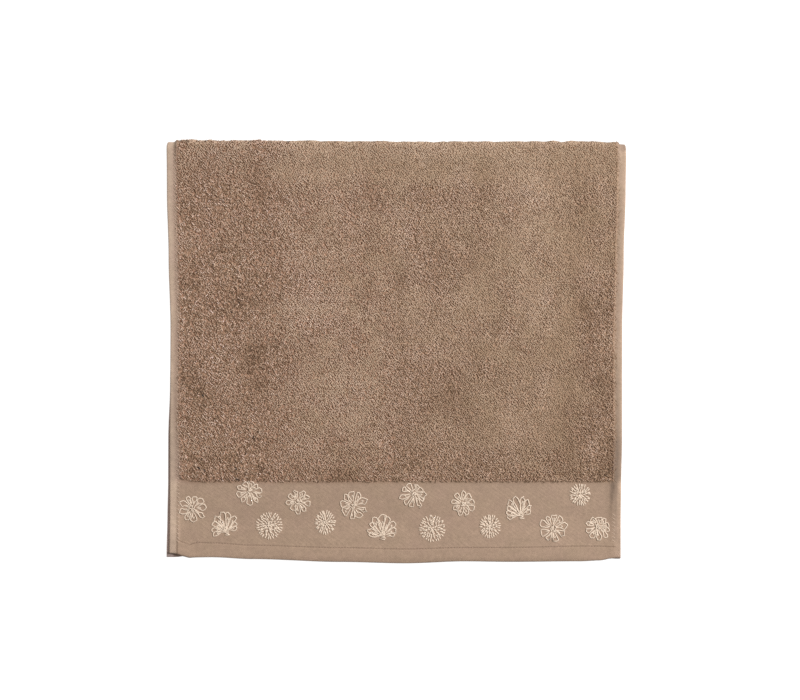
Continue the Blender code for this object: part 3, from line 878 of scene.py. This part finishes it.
    # The lower layer's inner face peeps out below the upper one, in its shade. Its colour is painted darker towards the
    # left corner's tip and tinted greyer: painted shade.
    inside = ((PARTS == 0)[:, None] * np.ones_like(INSET)).ravel()
    tip = smooth((-234.0 - FACE[..., 0]) / 6.0) * smooth((-216.5 - FACE[..., 1]) / 2.5)
    shade = inside * mix(1.0, 0.60, tip.ravel())
    shade = np.where(inside > 0.0, shade, 1.0)
    # The left side hem is painted a little redder beside the pile: the warm hue of painted shade.
    warm = (on_left * UPPER * by_pile * smooth((INSET - 3.0) / 2.0)).ravel()
    used = np.unique(quads)
    keep = np.full(len(points), -1)
    keep[used] = np.arange(len(used))
    piece = make_mesh(
        "towel_sheet", points[used], keep[quads], uv=bake,
        terry=terry[used], side=np.concatenate([side, side])[used],
        right=np.concatenate([right, right])[used], tone=np.concatenate([tone, tone * shade])[used], seam=seam[used], hem=hem[used],
        grey=np.concatenate([0.0 * inside, inside])[used], warm=np.concatenate([warm, 0.0 * warm])[used],
    )
    layer = piece.data.uv_layers.new(name="cloth")
    layer.data.foreach_set("uv", (corners * MM).astype(np.float32).ravel())
    piece.data.uv_layers.active = piece.data.uv_layers["OFBake"]
    piece.data.materials.append(cloth_material())
    return piece


# ---------------------------------------------------------------- the pile
LOOP_PITCH = 1.95       # loops stand this far apart, across and along
LOOP_LEAST = 13.0       # loops start this far along before the fold's arc
YARN_RADIUS = 0.46
LOOP_HALF = 1.66        # from the middle of a loop to its foot
SHOULDER = 0.62         # share of that which the top of the loop reaches
YARN_ANGLES = (205.0, 90.0, -25.0)   # round the yarn: its lower sides and its top; the rest never shows
LOOPS_A_PIECE = 15500
MISSING = 0.04          # share of loops that lie too low to show
# Yarn twist turns the loops off the cloth's length, most of them one way and fewer the other.
TURN_COLUMNS = ("share", "turn", "spread")
TURNS = ((0.51, -44.0, 8.0), (0.46, 51.0, 8.0), (0.03, 0.0, 90.0))


def roughness(across, y):
    """How uneven the pile is: more on the left and near the band, less near the fold."""
    rough = 1.1 * smooth((-90.0 - across) / 70.0) + 0.6 * smooth((-90.0 - y) / 50.0)
    rough = rough - 0.9 * smooth((y - 165.0) / 40.0) - 0.4 * smooth((across - 60.0) / 60.0)
    rough = rough + 0.8 * smooth((across - 185.0) / 30.0) * smooth((110.0 - y) / 60.0)
    return rough + 0.45 * lattice_noise(across, y, 24.0, 81) + 0.35 * lattice_noise(across, y, 11.0, 82)


def scatter_loops():
    """Grid rows and columns, as fractions, where loops stand."""
    source = np.random.default_rng(41)
    start = ALONG[fold_row] - LOOP_LEAST
    stop = ALONG[-1] - 70.0
    across = np.arange(SIDE_HEM_WIDE - 2.5, ACROSS[-1] - SIDE_HEM_WIDE + 2.5, LOOP_PITCH)
    along = np.arange(start, stop, LOOP_PITCH)
    a, s = np.meshgrid(across, along)
    a = a + 0.5 * LOOP_PITCH * (np.arange(len(along)) % 2)[:, None]
    a = (a + source.uniform(-0.24, 0.24, a.shape) * LOOP_PITCH).ravel()
    s = (s + source.uniform(-0.24, 0.24, s.shape) * LOOP_PITCH).ravel()
    column = np.interp(a, ACROSS, np.arange(len(ACROSS)))
    row = np.interp(s, ALONG, np.arange(len(ALONG)))
    spot = at_grid(FACE, row, column)
    inset = at_grid(INSET, row, column)
    reach = np.where(a > ACROSS[-1] / 2.0, 1.6, 0.3)
    upper = row > fold_row + 16
    ragged = 0.9 * lattice_noise(s, a, 5.0, 31)
    past_pile = spot[:, 1] - line_at("pile", spot[:, 0], "upper")
    keep = (inset > SIDE_HEM_WIDE - reach + ragged) & (~upper | (past_pile > 0.6 + 0.3 * ragged))
    rough = roughness(spot[:, 0], spot[:, 1])
    keep &= source.uniform(size=len(a)) > MISSING * np.clip(1.0 + 2.2 * rough, 0.1, 4.0)
    return row[keep], column[keep], a[keep], s[keep]


def build_pile():
    source = np.random.default_rng(43)
    row, column, a, s = scatter_loops()
    count = len(row)
    base = at_grid(GROUND, row, column)
    face = at_grid(FACE, row, column)
    up = unit(at_grid(NORMALS, row, column))
    step = 0.5
    ahead = unit(at_grid(FACE, np.minimum(row + step, FACE.shape[0] - 1.001), column) - at_grid(FACE, row - step, column))
    ahead = unit(ahead - up * np.einsum("ij,ij->i", ahead, up)[:, None])
    sideways = np.cross(ahead, up)
    # The loops lean together in patches.
    nap = math.pi * (1.6 * lattice_noise(a, s, 16.0, 51) + 0.9 * lattice_noise(a, s, 6.0, 52))
    lean = 0.24 + 0.22 * lattice_noise(a, s, 11.0, 53) + source.normal(0.0, 0.12, count)
    free = source.normal(0.0, 0.13, (2, count))
    lean_x, lean_y = lean * np.cos(nap) + free[0], lean * np.sin(nap) + free[1]
    shares = np.array([row[0] for row in TURNS])
    kind = source.choice(len(TURNS), count, p=shares / shares.sum())
    turn = np.radians(np.array([row[1] for row in TURNS])[kind] + np.array([row[2] for row in TURNS])[kind] * source.normal(0.0, 1.0, count))
    rough = roughness(face[:, 0], face[:, 1])
    uneven = np.clip(1.0 + rough, 0.25, 2.6)
    high = PILE_HIGH * np.clip(1.0 + source.normal(0.0, 0.16, count) * uneven ** 0.6, 0.4, 1.5)
    inset = at_grid(INSET, row, column)
    beside_hem = 1.0 - smooth((inset - SIDE_HEM_WIDE + 1.0) / 6.0)
    high = high * (1.0 - 0.65 * beside_hem)
    half = LOOP_HALF * np.clip(1.0 + source.normal(0.0, 0.22, count), 0.5, 1.6)
    calm = np.clip(0.25 - rough, 0.0, 1.0)
    radius = YARN_RADIUS * np.clip(1.0 + source.normal(0.0, 0.12, count), 0.7, 1.35) * (1.02 + 0.16 * calm - 0.05 * np.maximum(rough, 0.0))
    high = high * (1.0 - 0.28 * calm)
    flat = sideways * np.cos(turn)[:, None] + ahead * np.sin(turn)[:, None]
    lean_vector = sideways * lean_x[:, None] + ahead * lean_y[:, None]
    slope = flat * (half * SHOULDER)[:, None]
    tilt = source.normal(0.0, 0.16, count) * (1.0 - 0.6 * calm)
    path = np.stack([
        base - flat * half[:, None] - up * 0.35,
        base - slope + up * (high * (1.0 - tilt) - radius)[:, None] + lean_vector,
        base + slope + up * (high * (1.0 + tilt) - radius)[:, None] + lean_vector,
        base + flat * half[:, None] - up * 0.35,
    ], 1)
    rings, sides = path.shape[1], 3
    tangent = unit(np.gradient(path, axis=1))
    binormal = unit(np.cross(flat, up))
    points = np.zeros((count, rings, sides, 3))
    swell = np.array([0.85, 1.05, 1.05, 0.85])
    for k in range(rings):
        outward = unit(np.cross(binormal, tangent[:, k]))
        outward = outward * np.sign(np.einsum("ij,ij->i", outward, up))[:, None]
        for j, angle in enumerate(np.radians(YARN_ANGLES)):
            ring = binormal * math.cos(angle) + outward * math.sin(angle)
            points[:, k, j] = path[:, k] + ring * (radius * swell[k])[:, None]
    k, j = np.meshgrid(np.arange(rings - 1), np.arange(sides - 1), indexing="ij")
    k, j = k.ravel(), j.ravel()
    following = j + 1
    template = np.stack([k * sides + j, (k + 1) * sides + j, (k + 1) * sides + following, k * sides + following], 1)
    tone = 1.0 + tone_at(face[:, 0], face[:, 1]) + source.normal(0.0, 0.08, count) * uneven ** 1.5
    # Painted shade: loops that sit low are darker. Where the pile is calm, its loops have lighter flanks and are
    # painted darker overall to keep their brightness.
    sunk = source.uniform(size=count) < 0.08 * uneven
    tone = tone * (1.0 - 0.34 * sunk) * (0.974 - 0.235 * calm)
    # Painted shade on the loops beside the right side hem, which the key light strikes, and painted light on those
    # beside the left one, which lie in shade.
    tone = tone * (1.0 + beside_hem * np.where(a > ACROSS[-1] / 2.0, -0.56, 0.16))
    # Painted shade on loops whose ground faces away from straight up, as round the fold.
    tone = tone * mix(0.70, 1.0, smooth((up[:, 2] - 0.05) / 0.5))
    points[..., 2] = np.maximum(points[..., 2], 0.05)
    # Painted shade: 1 on each loop's top, less on its flanks and feet, which take the darker shade colour.
    depth = np.zeros((count, rings, sides))
    depth[:, 1:3, 1] = 1.0
    depth[:, 1:3, ::2] = (0.46 + 0.22 * calm)[:, None, None]
    depth[:, ::3] = (0.40 * calm)[:, None, None]
    order = np.argsort(s, kind="stable")
    pieces = []
    material = pile_material()
    total = math.ceil(count / LOOPS_A_PIECE)
    for number, chosen in enumerate(np.array_split(order, total)):
        size = len(chosen)
        quads = (template[None] + (np.arange(size) * rings * sides)[:, None, None]).reshape(-1, 4)
        # Bake map: each loop in its own cell.
        cells = math.ceil(math.sqrt(size))
        cell = np.stack([np.arange(size) % cells, np.arange(size) // cells], 1)
        u0, u1 = k / (rings - 1), (k + 1) / (rings - 1)
        v0, v1 = j / (sides - 1), (j + 1) / (sides - 1)
        local = np.stack([np.stack([u0, v0], 1), np.stack([u1, v0], 1), np.stack([u1, v1], 1), np.stack([u0, v1], 1)], 1)
        local = 0.12 + 0.76 * local
        uv = (cell[:, None, None, :] + local[None]) / cells
        piece = make_mesh(
            f"terry_pile_{number + 1}", points[chosen].reshape(-1, 3), quads, uv=uv.reshape(-1, 2),
            tone=np.repeat(tone[chosen], rings * sides), depth=depth[chosen].ravel(),
        )
        piece.data.materials.append(material)
        pieces.append(piece)
    print("loops", count, "triangles", count * len(template) * 2, "pieces", len(pieces))
    return pieces


# ---------------------------------------------------------------- yarn laid on the band
FLOWER_YARN = 0.59      # radius of the embroidery line
FLOWER_COLUMNS = ("across", "along", "kind", "half_wide", "half_high", "turn")
FLOWERS = (
    (-219.9, -170.4, "daisy", 14.6, 14.6, 4.0),
    (-185.9, -187.4, "fan", 14.0, 14.0, 108.0),
    (-159.4, -153.3, "leaning", 14.2, 13.2, 0.0),
    (-137.0, -189.0, "burst", 14.3, 15.0, 0.0),
    (-105.4, -163.0, "small", 12.8, 13.2, 20.0),
    (-76.5, -185.7, "ray", 11.6, 13.2, 0.0),
    (-45.6, -167.3, "daisy", 14.8, 15.6, 22.0),
    (-14.5, -191.2, "fan", 15.2, 14.4, 92.0),
    (17.7, -156.5, "leaning", 14.0, 13.4, -8.0),
    (39.3, -192.0, "burst", 14.3, 15.0, 12.0),
    (72.8, -165.2, "small", 12.8, 13.2, 4.0),
    (101.9, -190.0, "ray", 11.6, 13.2, 8.0),
    (132.8, -169.8, "fan", 14.0, 14.0, 108.0),
    (170.2, -192.0, "daisy", 14.8, 15.4, 10.0),
    (199.1, -155.4, "ray", 11.6, 12.4, 4.0),
    (217.6, -192.0, "leaning", 13.6, 13.6, 6.0),
)
# Petals of each kind, going round: their angle, reach, half spread in degrees and how square the
# tip is (0 pointed). Reach is a share of the flower's half size.
PETAL_COLUMNS = ("angle", "reach", "spread", "square")
PETALS = {
    "daisy": (
        (2.0, 1.00, 17.0, 0.60), (40.0, 0.99, 16.0, 0.80), (76.0, 0.96, 12.0, 1.00),
        (108.0, 1.00, 12.0, 0.10), (149.0, 0.98, 17.0, 0.80), (194.0, 0.97, 18.0, 0.90),
        (236.0, 0.98, 11.0, 0.10), (274.0, 1.00, 16.0, 0.60), (318.0, 1.02, 13.0, 0.20),
    ),
    "leaning": (
        (0.0, 0.92, 14.0, 0.60), (36.0, 0.78, 17.0, 0.60), (78.0, 0.74, 20.0, 0.70),
        (124.0, 0.82, 18.0, 0.50), (162.0, 1.00, 11.0, 0.20), (203.0, 1.10, 12.0, 0.30),
        (238.0, 1.12, 12.0, 0.60), (269.0, 1.14, 12.0, 0.80), (301.0, 1.22, 9.0, 0.20),
        (332.0, 1.00, 11.0, 0.30),
    ),
    "small": (
        (6.0, 0.98, 16.0, 0.80), (46.0, 0.98, 15.0, 0.50), (85.0, 1.02, 13.0, 0.30),
        (124.0, 0.98, 15.0, 0.70), (165.0, 1.02, 13.0, 0.20), (206.0, 0.94, 16.0, 0.70),
        (247.0, 1.04, 14.0, 0.20), (289.0, 1.00, 14.0, 0.30), (329.0, 0.97, 15.0, 0.80),
    ),
    "fan": (
        (-86.0, 0.84, 13.0, 0.50), (-62.0, 1.08, 12.0, 0.30), (-41.0, 1.32, 10.5, 0.60),
        (-20.0, 1.50, 9.5, 0.20), (0.0, 1.58, 10.0, 0.60), (20.0, 1.50, 9.5, 0.20),
        (41.0, 1.34, 10.0, 0.50), (61.0, 1.18, 10.5, 0.30), (82.0, 1.04, 11.5, 0.50),
    ),
}
# Straight stitches of the round flowers: how many, from and to which share of the half size, how far
# they are lifted and how far in degrees they stray.
RAY_COLUMNS = ("number", "start", "reach", "lift", "stray")
RAYS = {
    "burst": (
        (29, 0.79, 1.00, 0.0, 2.5), (25, 0.58, 0.80, 0.12, 6.0), (19, 0.38, 0.60, 0.20, 10.0),
        (12, 0.18, 0.40, 0.28, 16.0), (6, 0.03, 0.20, 0.35, 30.0),
    ),
    "ray": (
        (26, 0.70, 1.00, 0.0, 2.5), (21, 0.45, 0.73, 0.12, 5.0), (14, 0.20, 0.48, 0.22, 9.0), (6, 0.03, 0.22, 0.32, 25.0),
    ),
}
HEM_STITCH = 2.3        # length of a stitch of the end hem, and the gap after it
HEM_STITCH_GAP = 0.8
WHIP_STEP = 4.25        # the slanting stitches of the side hems stand this far apart
WHIP_SHOWN = ((-209.0, -172.0),)   # where they can be seen on the right


def ground_height(x, y):
    """Height of the upper layer's woven ground."""
    down = FOLD_TOP - y
    left, right = (look_up(SIDES, SIDE_COLUMNS, "upper_" + side, down) for side in ("left", "right"))
    inset = hem_inset(x, y, np.minimum(x - left, right - x))
    terry = terry_share("upper", x, y, inset)
    return top_of_upper(x, y, inset) - PILE_HIGH * terry + band_relief(x, y, inset) * (1.0 - terry)


def on_ring(radius, degrees):
    turn = np.radians(degrees)
    return np.array([radius * np.cos(turn), radius * np.sin(turn)])


def petal_path(petal, core, source):
    """Outline of a petal: out along one side, round the tip and back."""
    far, angle, spread, square = (petal[key] for key in ("reach", "angle", "spread", "square"))
    half = [
        (core, 0.50), (mix(core, far, 0.42), 0.84), (mix(core, far, 0.76), 1.0),
        (far * (0.89 + 0.07 * square), 0.62 + 0.22 * square),
    ]
    corners = [on_ring(radius, angle - share * spread) for radius, share in half] + [on_ring(far, angle)]
    corners += [on_ring(radius, angle + share * spread) for radius, share in reversed(half)]
    corners = np.array(corners)
    return rounded(corners + source.normal(0.0, 0.046, corners.shape), 1)


def rounded(corners, steps):
    """A smooth line through the corners."""
    ends = np.concatenate([2 * corners[:1] - corners[1:2], corners, 2 * corners[-1:] - corners[-2:-1]])
    out = []
    for k in range(1, len(ends) - 2):
        before, here, there, after = ends[k - 1], ends[k], ends[k + 1], ends[k + 2]
        for share in np.arange(steps) / steps:
            bend = 2 * here + (there - before) * share + (2 * before - 5 * here + 4 * there - after) * share ** 2
            out.append(0.5 * (bend + (3 * here - before - 3 * there + after) * share ** 3))
    return np.array(out + [corners[-1]])


def stroke(start, stop, bow):
    """A nearly straight stitch."""
    share = np.array([0.0, 0.10, 0.5, 0.90, 1.0])[:, None]
    aside = np.array([start[1] - stop[1], stop[0] - start[0]])
    return start + (stop - start) * share + aside * bow * np.sin(math.pi * share)


def flower_lines(flower, source):
    """Lines in the plane of the band, each with its lift and width."""
    kind, lines = flower["kind"], []
    if kind in PETALS:
        fan = kind == "fan"
        # A fan's petals rise from its foot, a leaning flower's from above its middle.
        middle = {"fan": np.array([-0.62, 0.0]), "leaning": np.array([0.10, 0.20])}.get(kind, np.zeros(2))
        core = 0.34 if fan else 0.25
        for row in PETALS[kind]:
            petal = dict(zip(PETAL_COLUMNS, row))
            petal["angle"] += source.normal(0.0, 1.5)
            petal["reach"] *= source.uniform(0.97, 1.03)
            lines.append((middle + petal_path(petal, core * source.uniform(0.85, 1.15), source), source.uniform(0.0, 0.3), 1.0))
            # A narrow loop or a line inside the petal.
            angle, far = petal["angle"], petal["reach"] * source.uniform(0.66, 0.78)
            begin = core * source.uniform(0.9, 1.3)
            if source.uniform() < (0.8 if fan else 0.6):
                off = 0.40 * petal["spread"]
                loop = [on_ring(begin, angle - off), on_ring(0.86 * far, angle - off), on_ring(far, angle), on_ring(0.80 * far, angle + off)]
                lines.append((middle + rounded(np.array(loop), 2), 0.1, 0.82))
            elif source.uniform() < 0.9:
                off = source.uniform(-0.3, 0.3) * petal["spread"]
                lines.append((middle + stroke(on_ring(begin, angle - off), on_ring(0.85 * far, angle + off), 0.03), 0.1, 0.85))
        if fan:
            # Short stitches across the foot, and longer ones that spread from it.
            for share in (-0.24, -0.12, 0.0, 0.12, 0.24, 0.36):
                spot, tilt = middle + np.array([share, source.normal(0.0, 0.04)]), 62.0 + source.normal(0.0, 14.0)
                lines.append((stroke(spot - on_ring(0.18, tilt), spot + on_ring(0.18, tilt), 0.05), 0.3, 0.95))
            for angle in (-74.0, -52.0, -30.0, -10.0, 10.0, 31.0, 52.0, 73.0):
                angle, stop = angle + source.normal(0.0, 4.0), source.uniform(0.55, 0.80)
                lines.append((middle + stroke(on_ring(0.08, angle), on_ring(stop, angle), 0.04), 0.25, 0.9))
        else:
            # The knotted middle.
            for number in range(11):
                spot = on_ring(source.uniform(0.04, 0.27), number * 33.0 + source.normal(0.0, 12.0))
                tilt, long = source.uniform(0.0, 180.0), source.uniform(0.09, 0.15)
                lines.append((middle + stroke(spot - on_ring(long, tilt), spot + on_ring(long, tilt), 0.05), 0.30, 0.85))
    for row in RAYS.get(kind, ()):
        ray = dict(zip(RAY_COLUMNS, row))
        turns = (np.arange(ray["number"]) + source.uniform(-0.22, 0.22, ray["number"])) * 360.0 / ray["number"]
        for angle in turns + ray["start"] * 115.0:
            begin = on_ring(ray["start"] + source.uniform(-0.05, 0.05), angle)
            end = on_ring(ray["reach"] + source.uniform(-0.06, 0.03), angle + source.normal(0.0, ray["stray"]))
            lines.append((stroke(begin, end, source.uniform(-0.09, 0.09)), ray["lift"], 1.12))
    return lines


def tube_mesh(name, paths, radii, sides, material):
    """Yarn along each path; the ends dip into the cloth."""
    points, quads, uv, first = [], [], [], 0
    cells = math.ceil(math.sqrt(len(paths)))
    for number, (path, radius) in enumerate(zip(paths, radii)):
        rings = len(path)
        tangent = unit(np.gradient(path, axis=0))
        side = unit(np.cross(tangent, np.array([0.0, 0.0, 1.0])))
        out = np.cross(side, tangent)
        angles = np.arange(sides) * math.tau / sides + math.pi / 2
        ring = side[:, None] * np.cos(angles)[None, :, None] + out[:, None] * np.sin(angles)[None, :, None]
        taper = np.ones(rings)
        taper[0], taper[-1] = 0.7, 0.7
        points.append((path[:, None] + ring * (radius * taper)[:, None, None]).reshape(-1, 3))
        k, j = (v.ravel() for v in np.meshgrid(np.arange(rings - 1), np.arange(sides), indexing="ij"))
        n = (j + 1) % sides
        quads.append(first + np.stack([k * sides + j, k * sides + n, (k + 1) * sides + n, (k + 1) * sides + j], 1))
        local = np.stack([
            np.stack([k / (rings - 1), j / sides], 1), np.stack([k / (rings - 1), (j + 1) / sides], 1),
            np.stack([(k + 1) / (rings - 1), (j + 1) / sides], 1), np.stack([(k + 1) / (rings - 1), j / sides], 1),
        ], 1)
        cell = np.array([number % cells, number // cells])
        uv.append(((0.08 + 0.84 * local + cell) / cells).reshape(-1, 2))
        first += rings * sides
    uv = np.concatenate(uv)
    uv = uv / uv.max(axis=0) * 0.995
    quads = np.concatenate(quads)
    piece = make_mesh(name, np.concatenate(points), quads, uv=uv)
    piece.data.materials.append(material)
    print(name, "triangles", len(quads) * 2)
    return piece


def build_flowers():
    source = np.random.default_rng(71)
    paths, radii = [], []
    for row in FLOWERS:
        flower = dict(zip(FLOWER_COLUMNS, row))
        turn = math.radians(flower["turn"])
        spin = np.array([[math.cos(turn), -math.sin(turn)], [math.sin(turn), math.cos(turn)]])
        for line, lift, wide in flower_lines(flower, source):
            flat = (line @ spin.T) * np.array([flower["half_wide"], flower["half_high"]])
            flat = flat + np.array([flower["across"], flower["along"]])
            flat = flat + source.normal(0.0, 0.10, flat.shape)
            z = ground_height(flat[:, 0], flat[:, 1]) + FLOWER_YARN * 0.25 + lift
            z[0] -= 0.6
            z[-1] -= 0.6
            paths.append(np.column_stack([flat, z]))
            radii.append(FLOWER_YARN * wide * source.uniform(0.92, 1.08))
    return tube_mesh("flower_stitching", paths, radii, 5, yarn_material("flower_yarn", FLOWER_COLOUR, 0.5))


def build_hem_stitches():
    source = np.random.default_rng(73)
    paths = []
    x = -231.0
    while x < 229.5:
        across = np.array([x, x + 0.15, x + HEM_STITCH / 2, x + HEM_STITCH - 0.15, x + HEM_STITCH])
        y = line_at("hem", across, "upper") + source.normal(0.0, 0.05)
        z = ground_height(across, y) + np.array([-0.30, 0.06, 0.14, 0.06, -0.30])
        paths.append(np.column_stack([across, y, z]))
        x += HEM_STITCH + HEM_STITCH_GAP * source.uniform(0.8, 1.2)
    hem = tube_mesh("end_hem_stitches", paths, [0.24] * len(paths), 4, yarn_material("hem_thread", BAND_COLOUR, 0.2))
    paths = []
    for side, sign in (("left", 1.0), ("right", -1.0)):
        y = 214.0
        while y > -208.0:
            edge = look_up(SIDES, SIDE_COLUMNS, "upper_" + side, FOLD_TOP - y)
            share = np.linspace(0.0, 1.0, 5)
            inset = 6.6 + 4.2 * share if sign > 0 else 10.0 - 4.2 * share
            across = edge + sign * inset
            along = y - 2.8 * share + source.normal(0.0, 0.08)
            z = ground_height(across, along) + np.array([-0.42, -0.10, 0.0, -0.10, -0.42])
            if sign > 0 or any(low < y < high for low, high in WHIP_SHOWN):
                paths.append(np.column_stack([across, along, z]))
            y -= WHIP_STEP * source.uniform(0.9, 1.1)
    whip = tube_mesh("side_hem_stitches", paths, [0.41] * len(paths), 5, yarn_material("side_thread", SIDE_COLOUR, 0.2))
    return hem, whip


# ---------------------------------------------------------------- camera, light and floor
def build_stage():
    bpy.ops.mesh.primitive_plane_add(size=36.0, location=(0.0, 0.0, -0.0004))
    floor = bpy.context.object
    floor.name = "floor"
    material, tree, shader = new_material("pale_floor")
    shader.inputs["Base Color"].default_value = (0.20, 0.20, 0.20, 1.0)
    shader.inputs["Roughness"].default_value = 0.9
    shader.inputs["Specular IOR Level"].default_value = 0.1
    shader.inputs["Emission Color"].default_value = (1.0, 1.0, 1.0, 1.0)
    shader.inputs["Emission Strength"].default_value = 0.97
    floor.data.materials.append(material)

    world = bpy.data.worlds.new("studio")
    world.use_nodes = True
    world.node_tree.nodes["Background"].inputs["Color"].default_value = (1.0, 0.94, 0.85, 1.0)
    world.node_tree.nodes["Background"].inputs["Strength"].default_value = 0.60
    bpy.context.scene.world = world

    def lamp(name, place, size, power, colour):
        data = bpy.data.lights.new(name, "AREA")
        data.shape, data.size = "DISK", size
        data.energy, data.color = power, colour
        made = bpy.data.objects.new(name, data)
        made.location = place
        direction = -made.location.normalized()
        made.rotation_euler = direction.to_track_quat("-Z", "Y").to_euler()
        bpy.context.scene.collection.objects.link(made)

    lamp("key", (3.44, 1.68, 3.21), 1.15, 430.0, (1.0, 1.01, 1.03))
    
    camera = bpy.data.cameras.new("camera")
    camera.sensor_width, camera.lens = 36.0, 85.0
    camera.clip_start, camera.clip_end = 0.05, 20.0
    eye = bpy.data.objects.new("camera", camera)
    eye.location = (0.00457, 0.00134, 2.040 + 0.0085)
    bpy.context.scene.collection.objects.link(eye)
    bpy.context.scene.camera = eye
    bpy.context.scene.view_settings.view_transform = "Standard"
    bpy.context.scene.view_settings.look = "None"
    bpy.context.scene.cycles.use_denoising = False     # it would blur the loops
    bpy.context.scene.cycles.filter_width = 1.60       # pixels as soft as the photo's


def main():
    build_stage()
    cloth = build_cloth()
    pile = build_pile()
    stitches = [build_flowers(), *build_hem_stitches()]
    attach(cloth, "root")
    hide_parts("towel_cloth")
    for piece in pile + stitches:
        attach(piece, "root")
    bpy.context.view_layer.update()


main()
